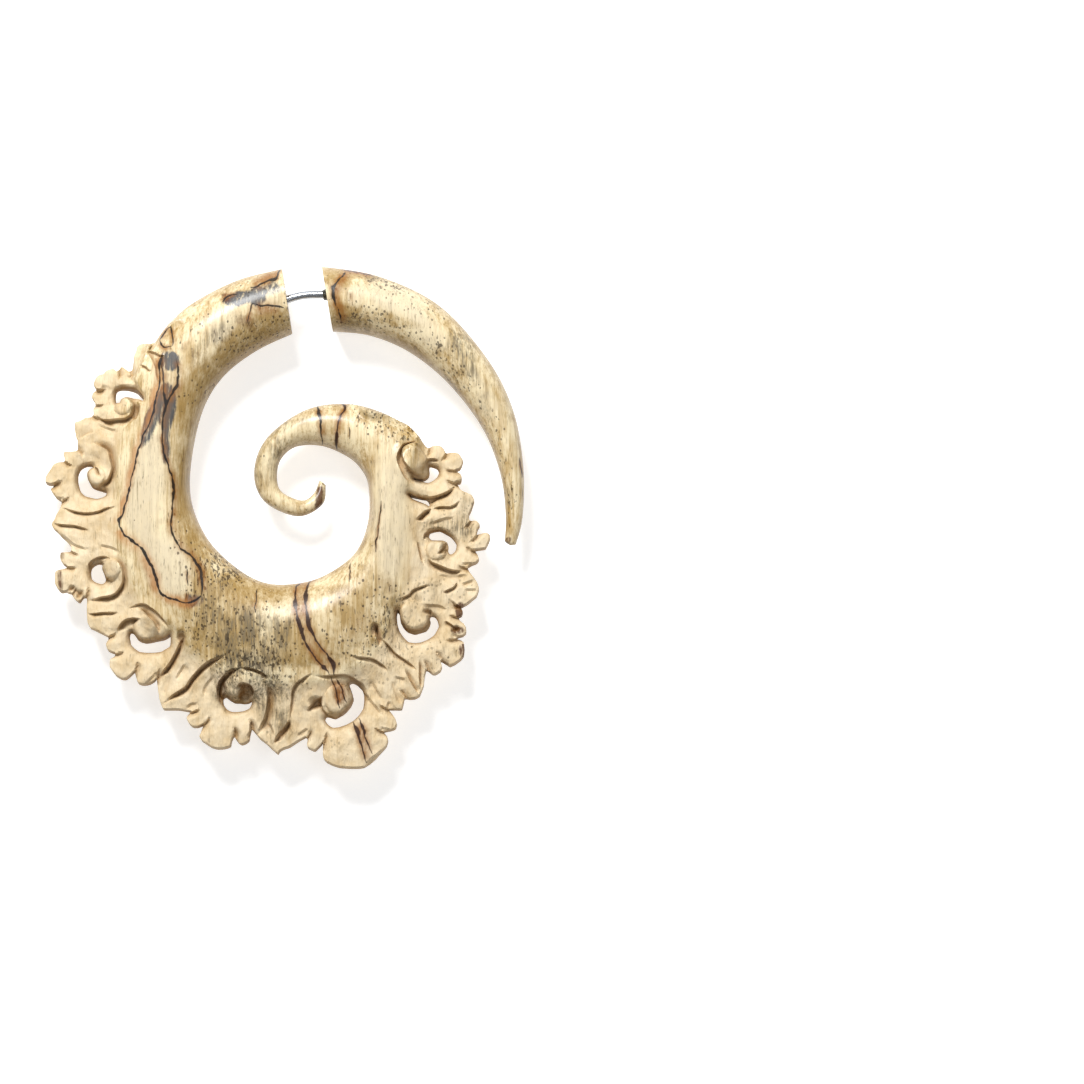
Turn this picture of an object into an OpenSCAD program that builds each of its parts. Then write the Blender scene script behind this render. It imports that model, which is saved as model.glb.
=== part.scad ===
/* [Wood] */
// Thickness of the spiral along its fullest stretch
body_t = 9; // [8.4:0.1:10]
// Thickness of the carved border where it leaves the body
root_t = 5; // [4.4:0.1:5.6]
// Thickness of the leaves along their edges
edge_t = 2.6; // [1.8:0.1:3.2]
// Thickness of the dished leaf round each bud
dish_t = 2.2; // [1.6:0.1:2.3]
// How far each curled bud stands over its leaf, on both faces
bud_rise = 0.7; // [0.3:0.1:1]
// Share of each pierced crescent that is opened
pierce = 1; // [0.6:0.05:1]
// Depth of the knife cuts between the leaves
cut_depth = 0.8; // [0.4:0.1:1.1]

/* [Post] */
// Diameter of the steel post
post_d = 1; // [0.8:0.1:1.2]
// Depth of the spiral's hole, into which the post slides
hole_depth = 8.5; // [6:0.5:9]
// Length of post that is held fast in the tusk
grip_depth = 6; // [4:0.5:6.5]
// Clearance round the post in its two holes, on the radius
hole_fit = 0.03; // [0.02:0.01:0.05]
// Slope of the spiral's hole
post_angle = 20; // [17:1:22]
// Radius of the bend between the two straight ends of the post
bend_r = 9; // [8:0.5:10]
// Outer radius of the glue bead at the tusk
bead_r = 0.75; // [0.7:0.05:0.9]

/* [Hidden] */

// Colours as the wood, the wire and the glue show them
WOOD = "#dcc9a0";
PALE_WOOD = "#e3d2ad";
STEEL = "#b9bcc0";
GLUE = "#5c5a42";

// The middle plane of the flat-lying hanger
mid_z = body_t / 2;
// Sections between two rows of a table, and facets across half a section
steps = 3;
half_ring = 8;
// Height of a cutter that goes right through
through = 2 * body_t;
// Facets round the wire, its bend, a dish and a bud
round_facets = 48;
bend_facets = 96;
dish_facets = 16;
bud_facets = 12;

// No section is thinner than this share of body_t, and its rim no thinner than this half thickness
least_share = 0.02;
least_half = 0.06;

// Half the thickness at the ridge of a leaf's tip
tip_ridge = edge_t / 2 + 0.3;
// The rounded end of a leaf: reach and half width as shares of the tip radius,
// drop of its ridge and drop of its edge
LEAF_END = [
    [0, 1, 0, 0],
    [0.7, 0.7, 0.1, 0.1],
    [1, 0.25, 0.25, 0.3]
];
// A leaf tip starts at this share of its scroll's reach, with this half width
tip_start = 0.6;
tip_root_half = 1.2;

// Half the height of a bud, the shares of its radius and height at its rounded shoulder,
// and the drop from its top to the ridge of its stem
bud_top = root_t / 2 + bud_rise;
shoulder_r = 0.6;
shoulder_h = 0.8;
stem_drop = 0.1;
// The stem of a bud: where it starts as a share of the leaf's reach, its half width there and its tip radius
stem_start = 0.8;
stem_half = 0.9;
stem_tip = 0.8;

// Points on each side of a pierced crescent's middle, and how blunt its ends are
crescent_points = 6;
crescent_blunt = 0.02;
// The pierced slot narrows towards its far face to this share
slot_taper = 0.95;

// A knife cut: depth at its start and end, half width at no depth and per mm of depth,
// its floor below the leaf at no depth, and how far it reaches over the leaf
cut_start = 0.05;
cut_end = 0.25;
cut_half = 0.2;
cut_spread = 0.8;
cut_floor = 0.35;
cut_over = 0.6;

// Columns of the section tables: a point on the inner edge, a point on the outer edge,
// thickness as a share of body_t, and thickness of the outer edge as a share of root_t
IN_X = 0;
IN_Y = 1;
OUT_X = 2;
OUT_Y = 3;
THICK = 4;
EDGE = 5;

// The spiral from its cut end, round the left and the bottom, to the tip of the curl
SPIRAL_ROWS = [
    [0.9, 23.2, -0.4, 31.4, 0.91, 0],
    [-3.5, 21.1, -6.6, 29.7, 0.95, 0],
    [-7.6, 17.9, -12.9, 26, 1, 0],
    [-10.2, 13.6, -16.9, 20.8, 1, 0.5],
    [-11.6, 7.3, -19.2, 12.1, 1, 1],
    [-11.6, 2.1, -20.1, 2.5, 1, 1],
    [-9.7, -2.5, -19.6, -6, 1, 1],
    [-6.4, -6, -14.6, -13.2, 1, 1],
    [-2.6, -8.2, -7, -19.2, 1, 1],
    [1.4, -8.4, 2.2, -20.4, 1, 1],
    [5.2, -7.3, 9.4, -18.2, 0.97, 1],
    [8.9, -4.5, 13.6, -11.4, 0.93, 1],
    [10.5, -0.5, 14.9, -3, 0.88, 1],
    [10.5, 4, 15, 4.2, 0.82, 0.9],
    [9.4, 6.3, 16.6, 9.1, 0.78, 0.6],
    [7.6, 7.8, 14.4, 12.1, 0.71, 0.2],
    [4.6, 9, 8.6, 14.2, 0.62, 0],
    [1.5, 8.9, 2.8, 13.6, 0.51, 0],
    [-0.3, 7.5, -2.2, 10, 0.42, 0],
    [-0.9, 5.5, -3.8, 5.7, 0.36, 0],
    [-0.4, 3.3, -2.5, 2, 0.3, 0],
    [2.2, 2.1, 1.7, 0.1, 0.26, 0],
    [3.7, 3, 4.8, 1.6, 0.22, 0],
    [4.4, 4.6, 5.2, 4, 0.12, 0]
];

// The tusk from its cut end to its point
TUSK_ROWS = [
    [6, 23.5, 4.6, 31.7, 0.91, 0],
    [10.6, 23, 11.9, 30.4, 0.9, 0],
    [15.6, 20.9, 19.4, 26.7, 0.86, 0],
    [20.5, 16.9, 25.4, 20, 0.76, 0],
    [24.8, 11.2, 28.6, 13.6, 0.62, 0],
    [27, 5.6, 29.9, 6.6, 0.46, 0],
    [27.7, 0.5, 29.85, 0.2, 0.32, 0],
    [27.6, -3, 29, -3.4, 0.16, 0]
];

// Columns of the scroll table: the bud's centre and radius, the reach of the leaf round it,
// and the crescent hole beside the bud: its middle direction, half its sweep, its inner radius, its width,
// and how much its radius grows from its middle to its end
BUD_X = 0;
BUD_Y = 1;
BUD_R = 2;
LEAF_R = 3;
HOLE_DIR = 4;
HOLE_HALF = 5;
HOLE_R = 6;
HOLE_W = 7;
HOLE_GROW = 8;
SCROLLS = [
    [-19.5, 13.8, 1.2, 4.2, 90, 78, 1.4, 1.05, 0],
    [-23.5, 4.8, 1.3, 4.7, 214, 92, 1.25, 1.15, 0.15],
    [-21.4, -6.7, 1.3, 4.9, 190, 46, 1.3, 1.4, 0],
    [-17.1, -14.3, 1.5, 4.6, 276, 82, 1.8, 1.15, 0.4],
    [-5.6, -21.4, 1.7, 6, 266, 48, 2.15, 1, 0.35],
    [6.2, -23.2, 1.8, 6.4, 336, 82, 2.1, 1.6, 0.45],
    [16.4, -13, 1.7, 5.7, 280, 92, 1.9, 1.05, 0.2],
    [19.1, -4.4, 1.3, 4.7, 56, 74, 1.5, 1.05, 0],
    [16.5, 6.6, 1.6, 3.1, 332, 30, 2, 1, -0.25]
];

// Columns of the leaf-tip table: the scroll it belongs to, its direction from the bud,
// its reach and its tip radius
OF_SCROLL = 0;
TIP_DIR = 1;
TIP_REACH = 2;
TIP_R = 3;
LEAF_TIPS = [
    [0, 101, 5.1, 0.5], [0, 117, 5.3, 0.7], [0, 136, 5.6, 0.9], [0, 162, 4.9, 0.8], [0, 184, 4.6, 0.7],
    [1, 143, 5.2, 0.4], [1, 162, 5.7, 0.6], [1, 180, 6.5, 0.8], [1, 194, 6, 0.6], [1, 208, 5.6, 0.6],
    [2, 161, 6.7, 0.5], [2, 171, 6.6, 0.5], [2, 187, 7.2, 0.6], [2, 199, 7.5, 0.8], [2, 218, 6.1, 0.8],
    [3, 205, 5.6, 0.8], [3, 230, 6.7, 1.1], [3, 243, 6.9, 1], [3, 262, 6.6, 0.7], [3, 274, 7, 0.9],
    [3, 288, 6.6, 0.8],
    [4, 216, 7.6, 1], [4, 235, 8.1, 1], [4, 252, 8.3, 1.5], [4, 274, 7.3, 0.7],
    [5, 246, 6.8, 0.6], [5, 268, 7.9, 1.5], [5, 284, 8.64, 1.9], [5, 300, 9.1, 1.7], [5, 315, 8.5, 1.4],
    [5, 327, 8.4, 1.1], [5, 339, 8.6, 0.7], [5, 352, 8.4, 0.8],
    [6, 292, 7.3, 1], [6, 312, 7.6, 1.1], [6, 326, 7.7, 1.3], [6, 348, 6.6, 1], [6, 13, 6.3, 0.8],
    [7, 346, 5.4, 0.7], [7, 6, 6.4, 0.6], [7, 15, 7, 0.6], [7, 34, 6.5, 0.8], [7, 44, 5.9, 0.7],
    [8, 78, 3.1, 0.5], [8, 29, 3.8, 0.6], [8, 4, 5.9, 1.1], [8, 341, 5.9, 1]
];

// Columns of the table of pointed leaves between the scrolls: root, tip, half width at the root, tip radius
ROOT_X = 0;
ROOT_Y = 1;
END_X = 2;
END_Y = 3;
ROOT_HALF = 4;
END_R = 5;
POINTED_LEAVES = [
    [-14.4, 18.6, -18.4, 21.5, 2.4, 1],
    [-16.6, 16.4, -18.6, 20.6, 1.8, 0.8],
    [-18.2, 9.2, -26.2, 11, 3.4, 1.3],
    [-20, 0.6, -28, 1.1, 2.2, 0.9],
    [-20, -0.9, -28.9, -0.8, 5.2, 0.4],
    [-19, -2.8, -27.1, -2.8, 3, 1],
    [-16.6, -10, -24.5, -12.1, 3.4, 1.1],
    [-16.6, -11, -24.1, -13.8, 3.2, 0.9],
    [-11.2, -16, -13.7, -24.3, 4.4, 1.9],
    [-9, -16.6, -11.9, -24.2, 2.6, 0.9],
    [-0.6, -20, -2.4, -28, 3, 0.8],
    [0.2, -20, -0.6, -29.7, 6, 0.3],
    [0.4, -20, 0.8, -29, 3, 0.8],
    [1.6, -20, 2.2, -28.1, 3.2, 0.9],
    [10, -15.6, 15, -24.2, 3.4, 0.6],
    [12.4, -14, 16.9, -22.9, 3.2, 1.2],
    [14, -12, 17.8, -20.3, 2.8, 0.9],
    [13.6, -9, 24.4, -9.4, 4.6, 1.4],
    [13.8, -5.6, 23.6, -7.7, 3, 1.1],
    [13.6, 0.3, 23.8, 1.3, 3.6, 1.5],
    [14.4, 3.1, 22.4, 3.2, 1.6, 0.8]
];

// Columns of the knife-cut table: start, middle and end of each cut
CUTS = [
    [[-16.9, 20.2], [-16.6, 19], [-16, 17.9]],
    [[-23.6, 12.9], [-21, 11.8], [-18.2, 13]],
    [[-25.4, 8.9], [-22.8, 8.4], [-21.7, 5.4]],
    [[-27.7, 1.1], [-24.9, 0.3], [-20.6, 1]],
    [[-28.8, -0.9], [-26.6, -1.5], [-24.3, -1.9]],
    [[-24.4, -10.4], [-21.5, -10], [-19.4, -8]],
    [[-24.2, -12.3], [-22.2, -12.2], [-20, -12.1]],
    [[-12.5, -15.3], [-13.6, -17.8], [-15.5, -20.4]],
    [[-7, -17.5], [-10.4, -18.6], [-13.7, -22.8]],
    [[-1, -27.4], [0.6, -25.4], [1.4, -21.3]],
    [[8.3, -17.6], [11.9, -18.3], [15.2, -21.8]],
    [[11.3, -14.2], [12.2, -15.8], [14.2, -18]],
    [[13.6, -10.6], [16.6, -8.7], [19.3, -8.3]],
    [[15.8, -6.4], [18.6, -8], [23, -8]],
    [[14.6, 3.2], [17.8, 2.4], [21.4, 4]]
];

// The narrow slot that is pierced under the last scroll
SLOT = [[15.45, 2.8], [17.8, 2.1], [18.25, 1.3], [17.1, 1.5]];
SLOT_MIDDLE = [16.9, 2];

// Where the post leaves the spiral, and how much of it is straight before it bends
post_exit = [0.15, 27.5];
straight_out = 0.35;
// Clearance of the glue bead from the wood and the wire, space left past each end of the wire,
// and how far the drill starts outside the wood
seat_gap = 0.02;
sink_gap = 0.4;
drill_over = 3;
// Length of the glue bead, and its outer end as a share of bead_r
bead_l = 0.45;
bead_taper = 0.8;
// The wire is a hair thinner along its bend, which laps into both straight ends by this many degrees
bend_thinning = 0.01;
bend_lap = 0.4;

// Where the post is level again, and where it meets the cut face of the tusk
bend_start = post_exit + straight_out * [cos(post_angle), sin(post_angle)];
bend_end = bend_start + bend_r * [sin(post_angle), 1 - cos(post_angle)];
face_x = lerp(TUSK_ROWS[0][IN_X], TUSK_ROWS[0][OUT_X],
    (bend_end.y - TUSK_ROWS[0][IN_Y]) / (TUSK_ROWS[0][OUT_Y] - TUSK_ROWS[0][IN_Y]));
face_lean = atan2(TUSK_ROWS[0][IN_X] - TUSK_ROWS[0][OUT_X], TUSK_ROWS[0][OUT_Y] - TUSK_ROWS[0][IN_Y]);

function lerp(a, b, t) = a + (b - a) * t;

// A smooth curve through four neighbouring rows, at t between the middle two
function through_rows(a, b, c, d, t) =
    0.5 * (2 * b + (c - a) * t + (2 * a - 5 * b + 4 * c - d) * t * t + (3 * b - a - 3 * c + d) * t * t * t);

// All rows of a section table, with smooth rows filled in between
function smooth_rows(rows) = let (last = len(rows) - 1) [
    for (i = [0:last - 1], k = [0:steps - 1])
        through_rows(rows[max(i - 1, 0)], rows[i], rows[i + 1], rows[min(i + 2, last)], k / steps),
    rows[last]
];

// Half the thickness of a section at angle a round it, 0 on the inner edge and 180 on the outer edge
function half_height(row, a) = let (
    half_t = min(max(row[THICK], least_share), 1) * mid_z,
    half_edge = a > 90 ? min(max(row[EDGE], 0) * root_t / 2, half_t) : 0
) half_edge + (half_t - half_edge) * sin(a);

// One closed section: the upper half from the inner edge out, then the lower half back
function section_ring(row) = let (
    inner = [row[IN_X], row[IN_Y]],
    outer = [row[OUT_X], row[OUT_Y]],
    angles = [for (k = [0:half_ring]) 180 * k / half_ring],
    upper = [for (a = angles)
        [lerp(outer, inner, (1 + cos(a)) / 2), a > 0 ? max(half_height(row, a), least_half) : 0]]
) [
    for (p = upper) [p[0].x, p[0].y, mid_z + p[1]],
    for (k = [half_ring:-1:1]) [upper[k][0].x, upper[k][0].y, mid_z - upper[k][1]]
];

// A closed solid through rings of n points each, which run clockwise seen along the sweep
module skin(rings, n) {
    count = len(rings);
    polyhedron(
        points = [for (ring = rings, p = ring) p],
        faces = [
            [for (k = [n - 1:-1:0]) k],
            for (i = [0:count - 2], k = [0:n - 1]) let (
                a = i * n + k,
                b = i * n + (k + 1) % n
            ) each [[a, b, b + n], [a, b + n, a + n]],
            [for (k = [0:n - 1]) (count - 1) * n + k]
        ],
        convexity = 8
    );
}

// The rows of a table in the order that puts the outer edge on the left of the sweep
module swept_wood(rows) {
    across = [rows[0][OUT_X] - rows[0][IN_X], rows[0][OUT_Y] - rows[0][IN_Y]];
    along = [rows[1][IN_X] - rows[0][IN_X], rows[1][IN_Y] - rows[0][IN_Y]];
    sections = smooth_rows(rows);
    last = len(sections) - 1;
    backward = cross(across, along) > 0;
    skin([for (i = [0:last]) section_ring(sections[backward ? last - i : i])], 2 * half_ring + 1);
}

// A leaf with a ridge along its middle, thick at its root and thin along its edges
module ridged_leaf(root, tip, root_half, tip_r, end_ridge) {
    length = norm(tip - root) - tip_r;
    course = atan2(tip.y - root.y, tip.x - root.x);
    // Columns: distance along the leaf, half its width, half its thickness at the ridge and at the edge
    rows = [
        [0, root_half, root_t / 2, edge_t / 2],
        for (e = LEAF_END) [length + e[0] * tip_r, e[1] * tip_r, end_ridge - e[2], edge_t / 2 - e[3]]
    ];
    translate([root.x, root.y, mid_z])
        rotate(course)
            skin([for (r = rows) [
                [r[0], -r[1], r[3]], [r[0], 0, r[2]], [r[0], r[1], r[3]],
                [r[0], r[1], -r[3]], [r[0], 0, -r[2]], [r[0], -r[1], -r[3]]
            ]], 6);
}

function bud_centre(s) = [s[BUD_X], s[BUD_Y]];
function toward(angle, reach) = reach * [cos(angle), sin(angle)];

// The dished leaf round a bud
module dish(s) {
    translate([s[BUD_X], s[BUD_Y], mid_z - dish_t / 2])
        cylinder(r = s[LEAF_R], h = dish_t, $fn = dish_facets);
}

// The rolled bud at the heart of a scroll, with the stem that it curls on
module bud(s) {
    side = shoulder_h * bud_top;
    translate([s[BUD_X], s[BUD_Y], mid_z])
        rotate_extrude($fn = bud_facets)
            polygon([
                [0, -bud_top], [shoulder_r * s[BUD_R], -bud_top], [s[BUD_R], -side],
                [s[BUD_R], side], [shoulder_r * s[BUD_R], bud_top], [0, bud_top]
            ]);
    away = s[HOLE_DIR] + 180;
    ridged_leaf(bud_centre(s) + toward(away, stem_start * s[LEAF_R]), bud_centre(s), stem_half * s[BUD_R],
        stem_tip * s[BUD_R], bud_top - stem_drop);
}

// The crescent that is pierced beside a bud
module crescent(s) {
    half_sweep = s[HOLE_HALF];
    n = crescent_points;
    translate([s[BUD_X], s[BUD_Y], mid_z - through / 2])
        linear_extrude(through)
            polygon(concat(
                [for (k = [-n:n]) let (t = k / n) toward(s[HOLE_DIR] + t * half_sweep,
                    s[HOLE_R] + s[HOLE_GROW] * t + pierce * s[HOLE_W] * sqrt(1 + crescent_blunt - t * t))],
                [for (k = [n - 1:-1:1 - n]) let (t = k / n) toward(s[HOLE_DIR] + t * half_sweep,
                    s[HOLE_R] + s[HOLE_GROW] * t)]
            ));
}

// A knife cut of V section that fades out at both ends, on both faces
module knife_cut(points) {
    depths = [cut_start, cut_depth, cut_end];
    side = toward(90 + atan2(points[2].y - points[0].y, points[2].x - points[0].x), 1);
    top = mid_z + cut_over;
    for (face = [0, 1])
        translate([0, 0, mid_z])
            mirror([0, 0, face])
                skin([for (k = [0:2]) let (
                    p = points[k],
                    half_w = cut_half + cut_spread * depths[k]
                ) [
                    [p.x, p.y, root_t / 2 - depths[k] - cut_floor],
                    [p.x - half_w * side.x, p.y - half_w * side.y, top],
                    [p.x + half_w * side.x, p.y + half_w * side.y, top]
                ]], 3);
}

// The carved wood of the spiral, before its hole is drilled
module carved_spiral() {
    difference() {
        union() {
            swept_wood(SPIRAL_ROWS);
            for (s = SCROLLS) dish(s);
            for (t = LEAF_TIPS) let (s = SCROLLS[t[OF_SCROLL]])
                ridged_leaf(bud_centre(s) + toward(t[TIP_DIR], tip_start * s[LEAF_R]),
                    bud_centre(s) + toward(t[TIP_DIR], t[TIP_REACH]), tip_root_half, t[TIP_R], tip_ridge);
            for (p = POINTED_LEAVES)
                ridged_leaf([p[ROOT_X], p[ROOT_Y]], [p[END_X], p[END_Y]], p[ROOT_HALF], p[END_R], tip_ridge);
            for (s = SCROLLS) bud(s);
        }
        for (s = SCROLLS) crescent(s);
        for (c = CUTS) knife_cut(c);
        translate([SLOT_MIDDLE.x, SLOT_MIDDLE.y, mid_z - through / 2])
            linear_extrude(through, scale = slot_taper)
                polygon([for (p = SLOT) p - SLOT_MIDDLE]);
    }
}

module spiral() {
    color(WOOD)
        difference() {
            resize([0, 0, 0]) carved_spiral();
            translate([post_exit.x, post_exit.y, mid_z])
                rotate([0, 0, post_angle])
                    translate([-hole_depth, 0, 0])
                        rotate([0, 90, 0])
                            cylinder(r = post_d / 2 + hole_fit, h = hole_depth + drill_over,
                                $fn = round_facets);
        }
}

module tusk() {
    color(PALE_WOOD)
        difference() {
            swept_wood(TUSK_ROWS);
            translate([bend_end.x, bend_end.y, mid_z])
                rotate([0, 90, 0])
                    cylinder(r = post_d / 2 + hole_fit, h = face_x - bend_end.x + grip_depth + sink_gap,
                        $fn = round_facets);
        }
}

module post() {
    in_spiral = hole_depth - sink_gap + straight_out;
    color(STEEL) {
        translate([bend_start.x, bend_start.y, mid_z])
            rotate([0, 0, post_angle])
                translate([-in_spiral, 0, 0])
                    rotate([0, 90, 0])
                        cylinder(d = post_d, h = in_spiral, $fn = round_facets);
        translate([bend_end.x, bend_end.y - bend_r, mid_z])
            rotate([0, 0, 90 - bend_lap])
                rotate_extrude(angle = post_angle + 2 * bend_lap, $fn = bend_facets)
                    translate([bend_r, 0])
                        circle(d = post_d - bend_thinning, $fn = round_facets);
        translate([bend_end.x, bend_end.y, mid_z])
            rotate([0, 90, 0])
                cylinder(d = post_d, h = face_x - bend_end.x + grip_depth, $fn = round_facets);
    }
}

// The bead stands on the cut face of the tusk, so its broad end leans with that face
module glue_bead() {
    color(GLUE)
        difference() {
            translate([face_x, bend_end.y, mid_z])
                rotate([0, -90, face_lean])
                    translate([0, 0, seat_gap])
                        cylinder(r1 = bead_r, r2 = bead_taper * bead_r, h = bead_l, $fn = round_facets);
            translate([bend_end.x, bend_end.y, mid_z])
                rotate([0, 90, 0])
                    cylinder(r = post_d / 2 + seat_gap, h = 2 * grip_depth, $fn = round_facets);
        }
}

spiral();
tusk();
post();
glue_bead();
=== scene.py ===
"""Dresses the wooden ear hanger: carved spalted wood, a loose tusk and the steel post between them."""

import logging
import math
from dataclasses import dataclass, field
from enum import Enum
from typing import Any, Sequence

import bmesh
import bpy
import numpy as np
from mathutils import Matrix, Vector
from mathutils.bvhtree import BVHTree
from mathutils.geometry import delaunay_2d_cdt
from mathutils.kdtree import KDTree

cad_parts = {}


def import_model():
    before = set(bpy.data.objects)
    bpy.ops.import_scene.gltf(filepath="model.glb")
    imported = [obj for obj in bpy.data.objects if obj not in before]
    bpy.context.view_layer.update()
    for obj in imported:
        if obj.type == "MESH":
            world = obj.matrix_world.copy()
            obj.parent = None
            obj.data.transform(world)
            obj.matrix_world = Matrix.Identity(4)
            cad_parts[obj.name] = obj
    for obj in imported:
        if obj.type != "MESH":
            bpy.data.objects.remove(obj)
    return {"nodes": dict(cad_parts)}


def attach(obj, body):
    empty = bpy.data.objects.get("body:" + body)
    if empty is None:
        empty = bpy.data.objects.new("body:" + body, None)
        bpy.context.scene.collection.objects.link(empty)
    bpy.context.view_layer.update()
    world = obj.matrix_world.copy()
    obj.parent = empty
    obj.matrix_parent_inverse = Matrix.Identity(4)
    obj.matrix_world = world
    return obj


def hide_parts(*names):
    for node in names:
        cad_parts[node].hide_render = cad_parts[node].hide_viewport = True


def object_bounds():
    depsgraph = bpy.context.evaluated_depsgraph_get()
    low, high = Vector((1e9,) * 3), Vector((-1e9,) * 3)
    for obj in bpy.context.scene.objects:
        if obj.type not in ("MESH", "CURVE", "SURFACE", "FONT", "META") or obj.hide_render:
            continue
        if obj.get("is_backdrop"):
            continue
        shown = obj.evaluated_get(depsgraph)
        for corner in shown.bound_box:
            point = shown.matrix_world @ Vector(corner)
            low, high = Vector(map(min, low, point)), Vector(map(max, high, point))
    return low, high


LOG = logging.getLogger("ear_hanger")
MM = 0.001
MID_Z = 4.5
BORE_R = 0.53
STEP = 0.1
CLOSE = 0.02
SMALL = 1e-6
TINY = 1e-9
INNER, OUTER = slice(0, 2), slice(2, 4)

Point = tuple[float, float]
FlatPoints = tuple[float, ...]
Colour = tuple[float, float, float, float]


@dataclass(frozen=True)
class Row:
    """One section of a swept piece: its inner and outer edge points and two thickness shares."""

    inner: Point
    outer: Point
    thick: float
    edge: float = 0.0


SPIRAL_ROWS = (
    Row((0.9, 23.2), (-0.4, 31.4), 0.91),
    Row((-3.5, 21.1), (-6.6, 29.7), 0.95),
    Row((-7.6, 17.9), (-12.9, 26.0), 1.0),
    Row((-10.2, 13.6), (-16.9, 20.8), 1.0, 0.5),
    Row((-11.6, 7.3), (-19.2, 12.1), 1.0, 1.0),
    Row((-11.6, 2.1), (-20.1, 2.5), 1.0, 1.0),
    Row((-9.7, -2.5), (-19.6, -6.0), 1.0, 1.0),
    Row((-6.4, -6.0), (-14.6, -13.2), 1.0, 1.0),
    Row((-2.6, -8.2), (-7.0, -19.2), 1.0, 1.0),
    Row((1.4, -8.4), (2.2, -20.4), 1.0, 1.0),
    Row((5.2, -7.3), (9.4, -18.2), 0.97, 1.0),
    Row((8.9, -4.5), (13.6, -11.4), 0.93, 1.0),
    Row((10.5, -0.5), (14.9, -3.0), 0.88, 1.0),
    Row((10.5, 4.0), (15.0, 4.2), 0.82, 0.9),
    Row((9.4, 6.3), (16.6, 9.1), 0.78, 0.6),
    Row((7.6, 7.8), (14.4, 12.1), 0.71, 0.2),
    Row((4.6, 9.0), (8.6, 14.2), 0.62),
    Row((1.5, 8.9), (2.8, 13.6), 0.51),
    Row((-0.3, 7.5), (-2.2, 10.0), 0.42),
    Row((-0.9, 5.5), (-3.8, 5.7), 0.36),
    Row((-0.4, 3.3), (-2.5, 2.0), 0.3),
    Row((2.2, 2.1), (1.7, 0.1), 0.26),
    Row((3.7, 3.0), (4.8, 1.6), 0.22),
    Row((4.4, 4.6), (5.2, 4.0), 0.12),
)

TUSK_ROWS = (
    Row((6.0, 23.5), (4.6, 31.7), 0.91),
    Row((10.6, 23.0), (11.9, 30.4), 0.9),
    Row((15.6, 20.9), (19.4, 26.7), 0.86),
    Row((20.5, 16.9), (25.4, 20.0), 0.76),
    Row((24.8, 11.2), (28.6, 13.6), 0.62),
    Row((27.0, 5.6), (29.9, 6.6), 0.46),
    Row((27.7, 0.5), (29.85, 0.2), 0.32),
    Row((27.6, -3.0), (29.0, -3.4), 0.16),
)


@dataclass(frozen=True)
class Scroll:
    """A rolled scroll of the border: its bud and the outline that is pierced beside it."""

    bud: Point
    bud_r: float
    hole: FlatPoints


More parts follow.
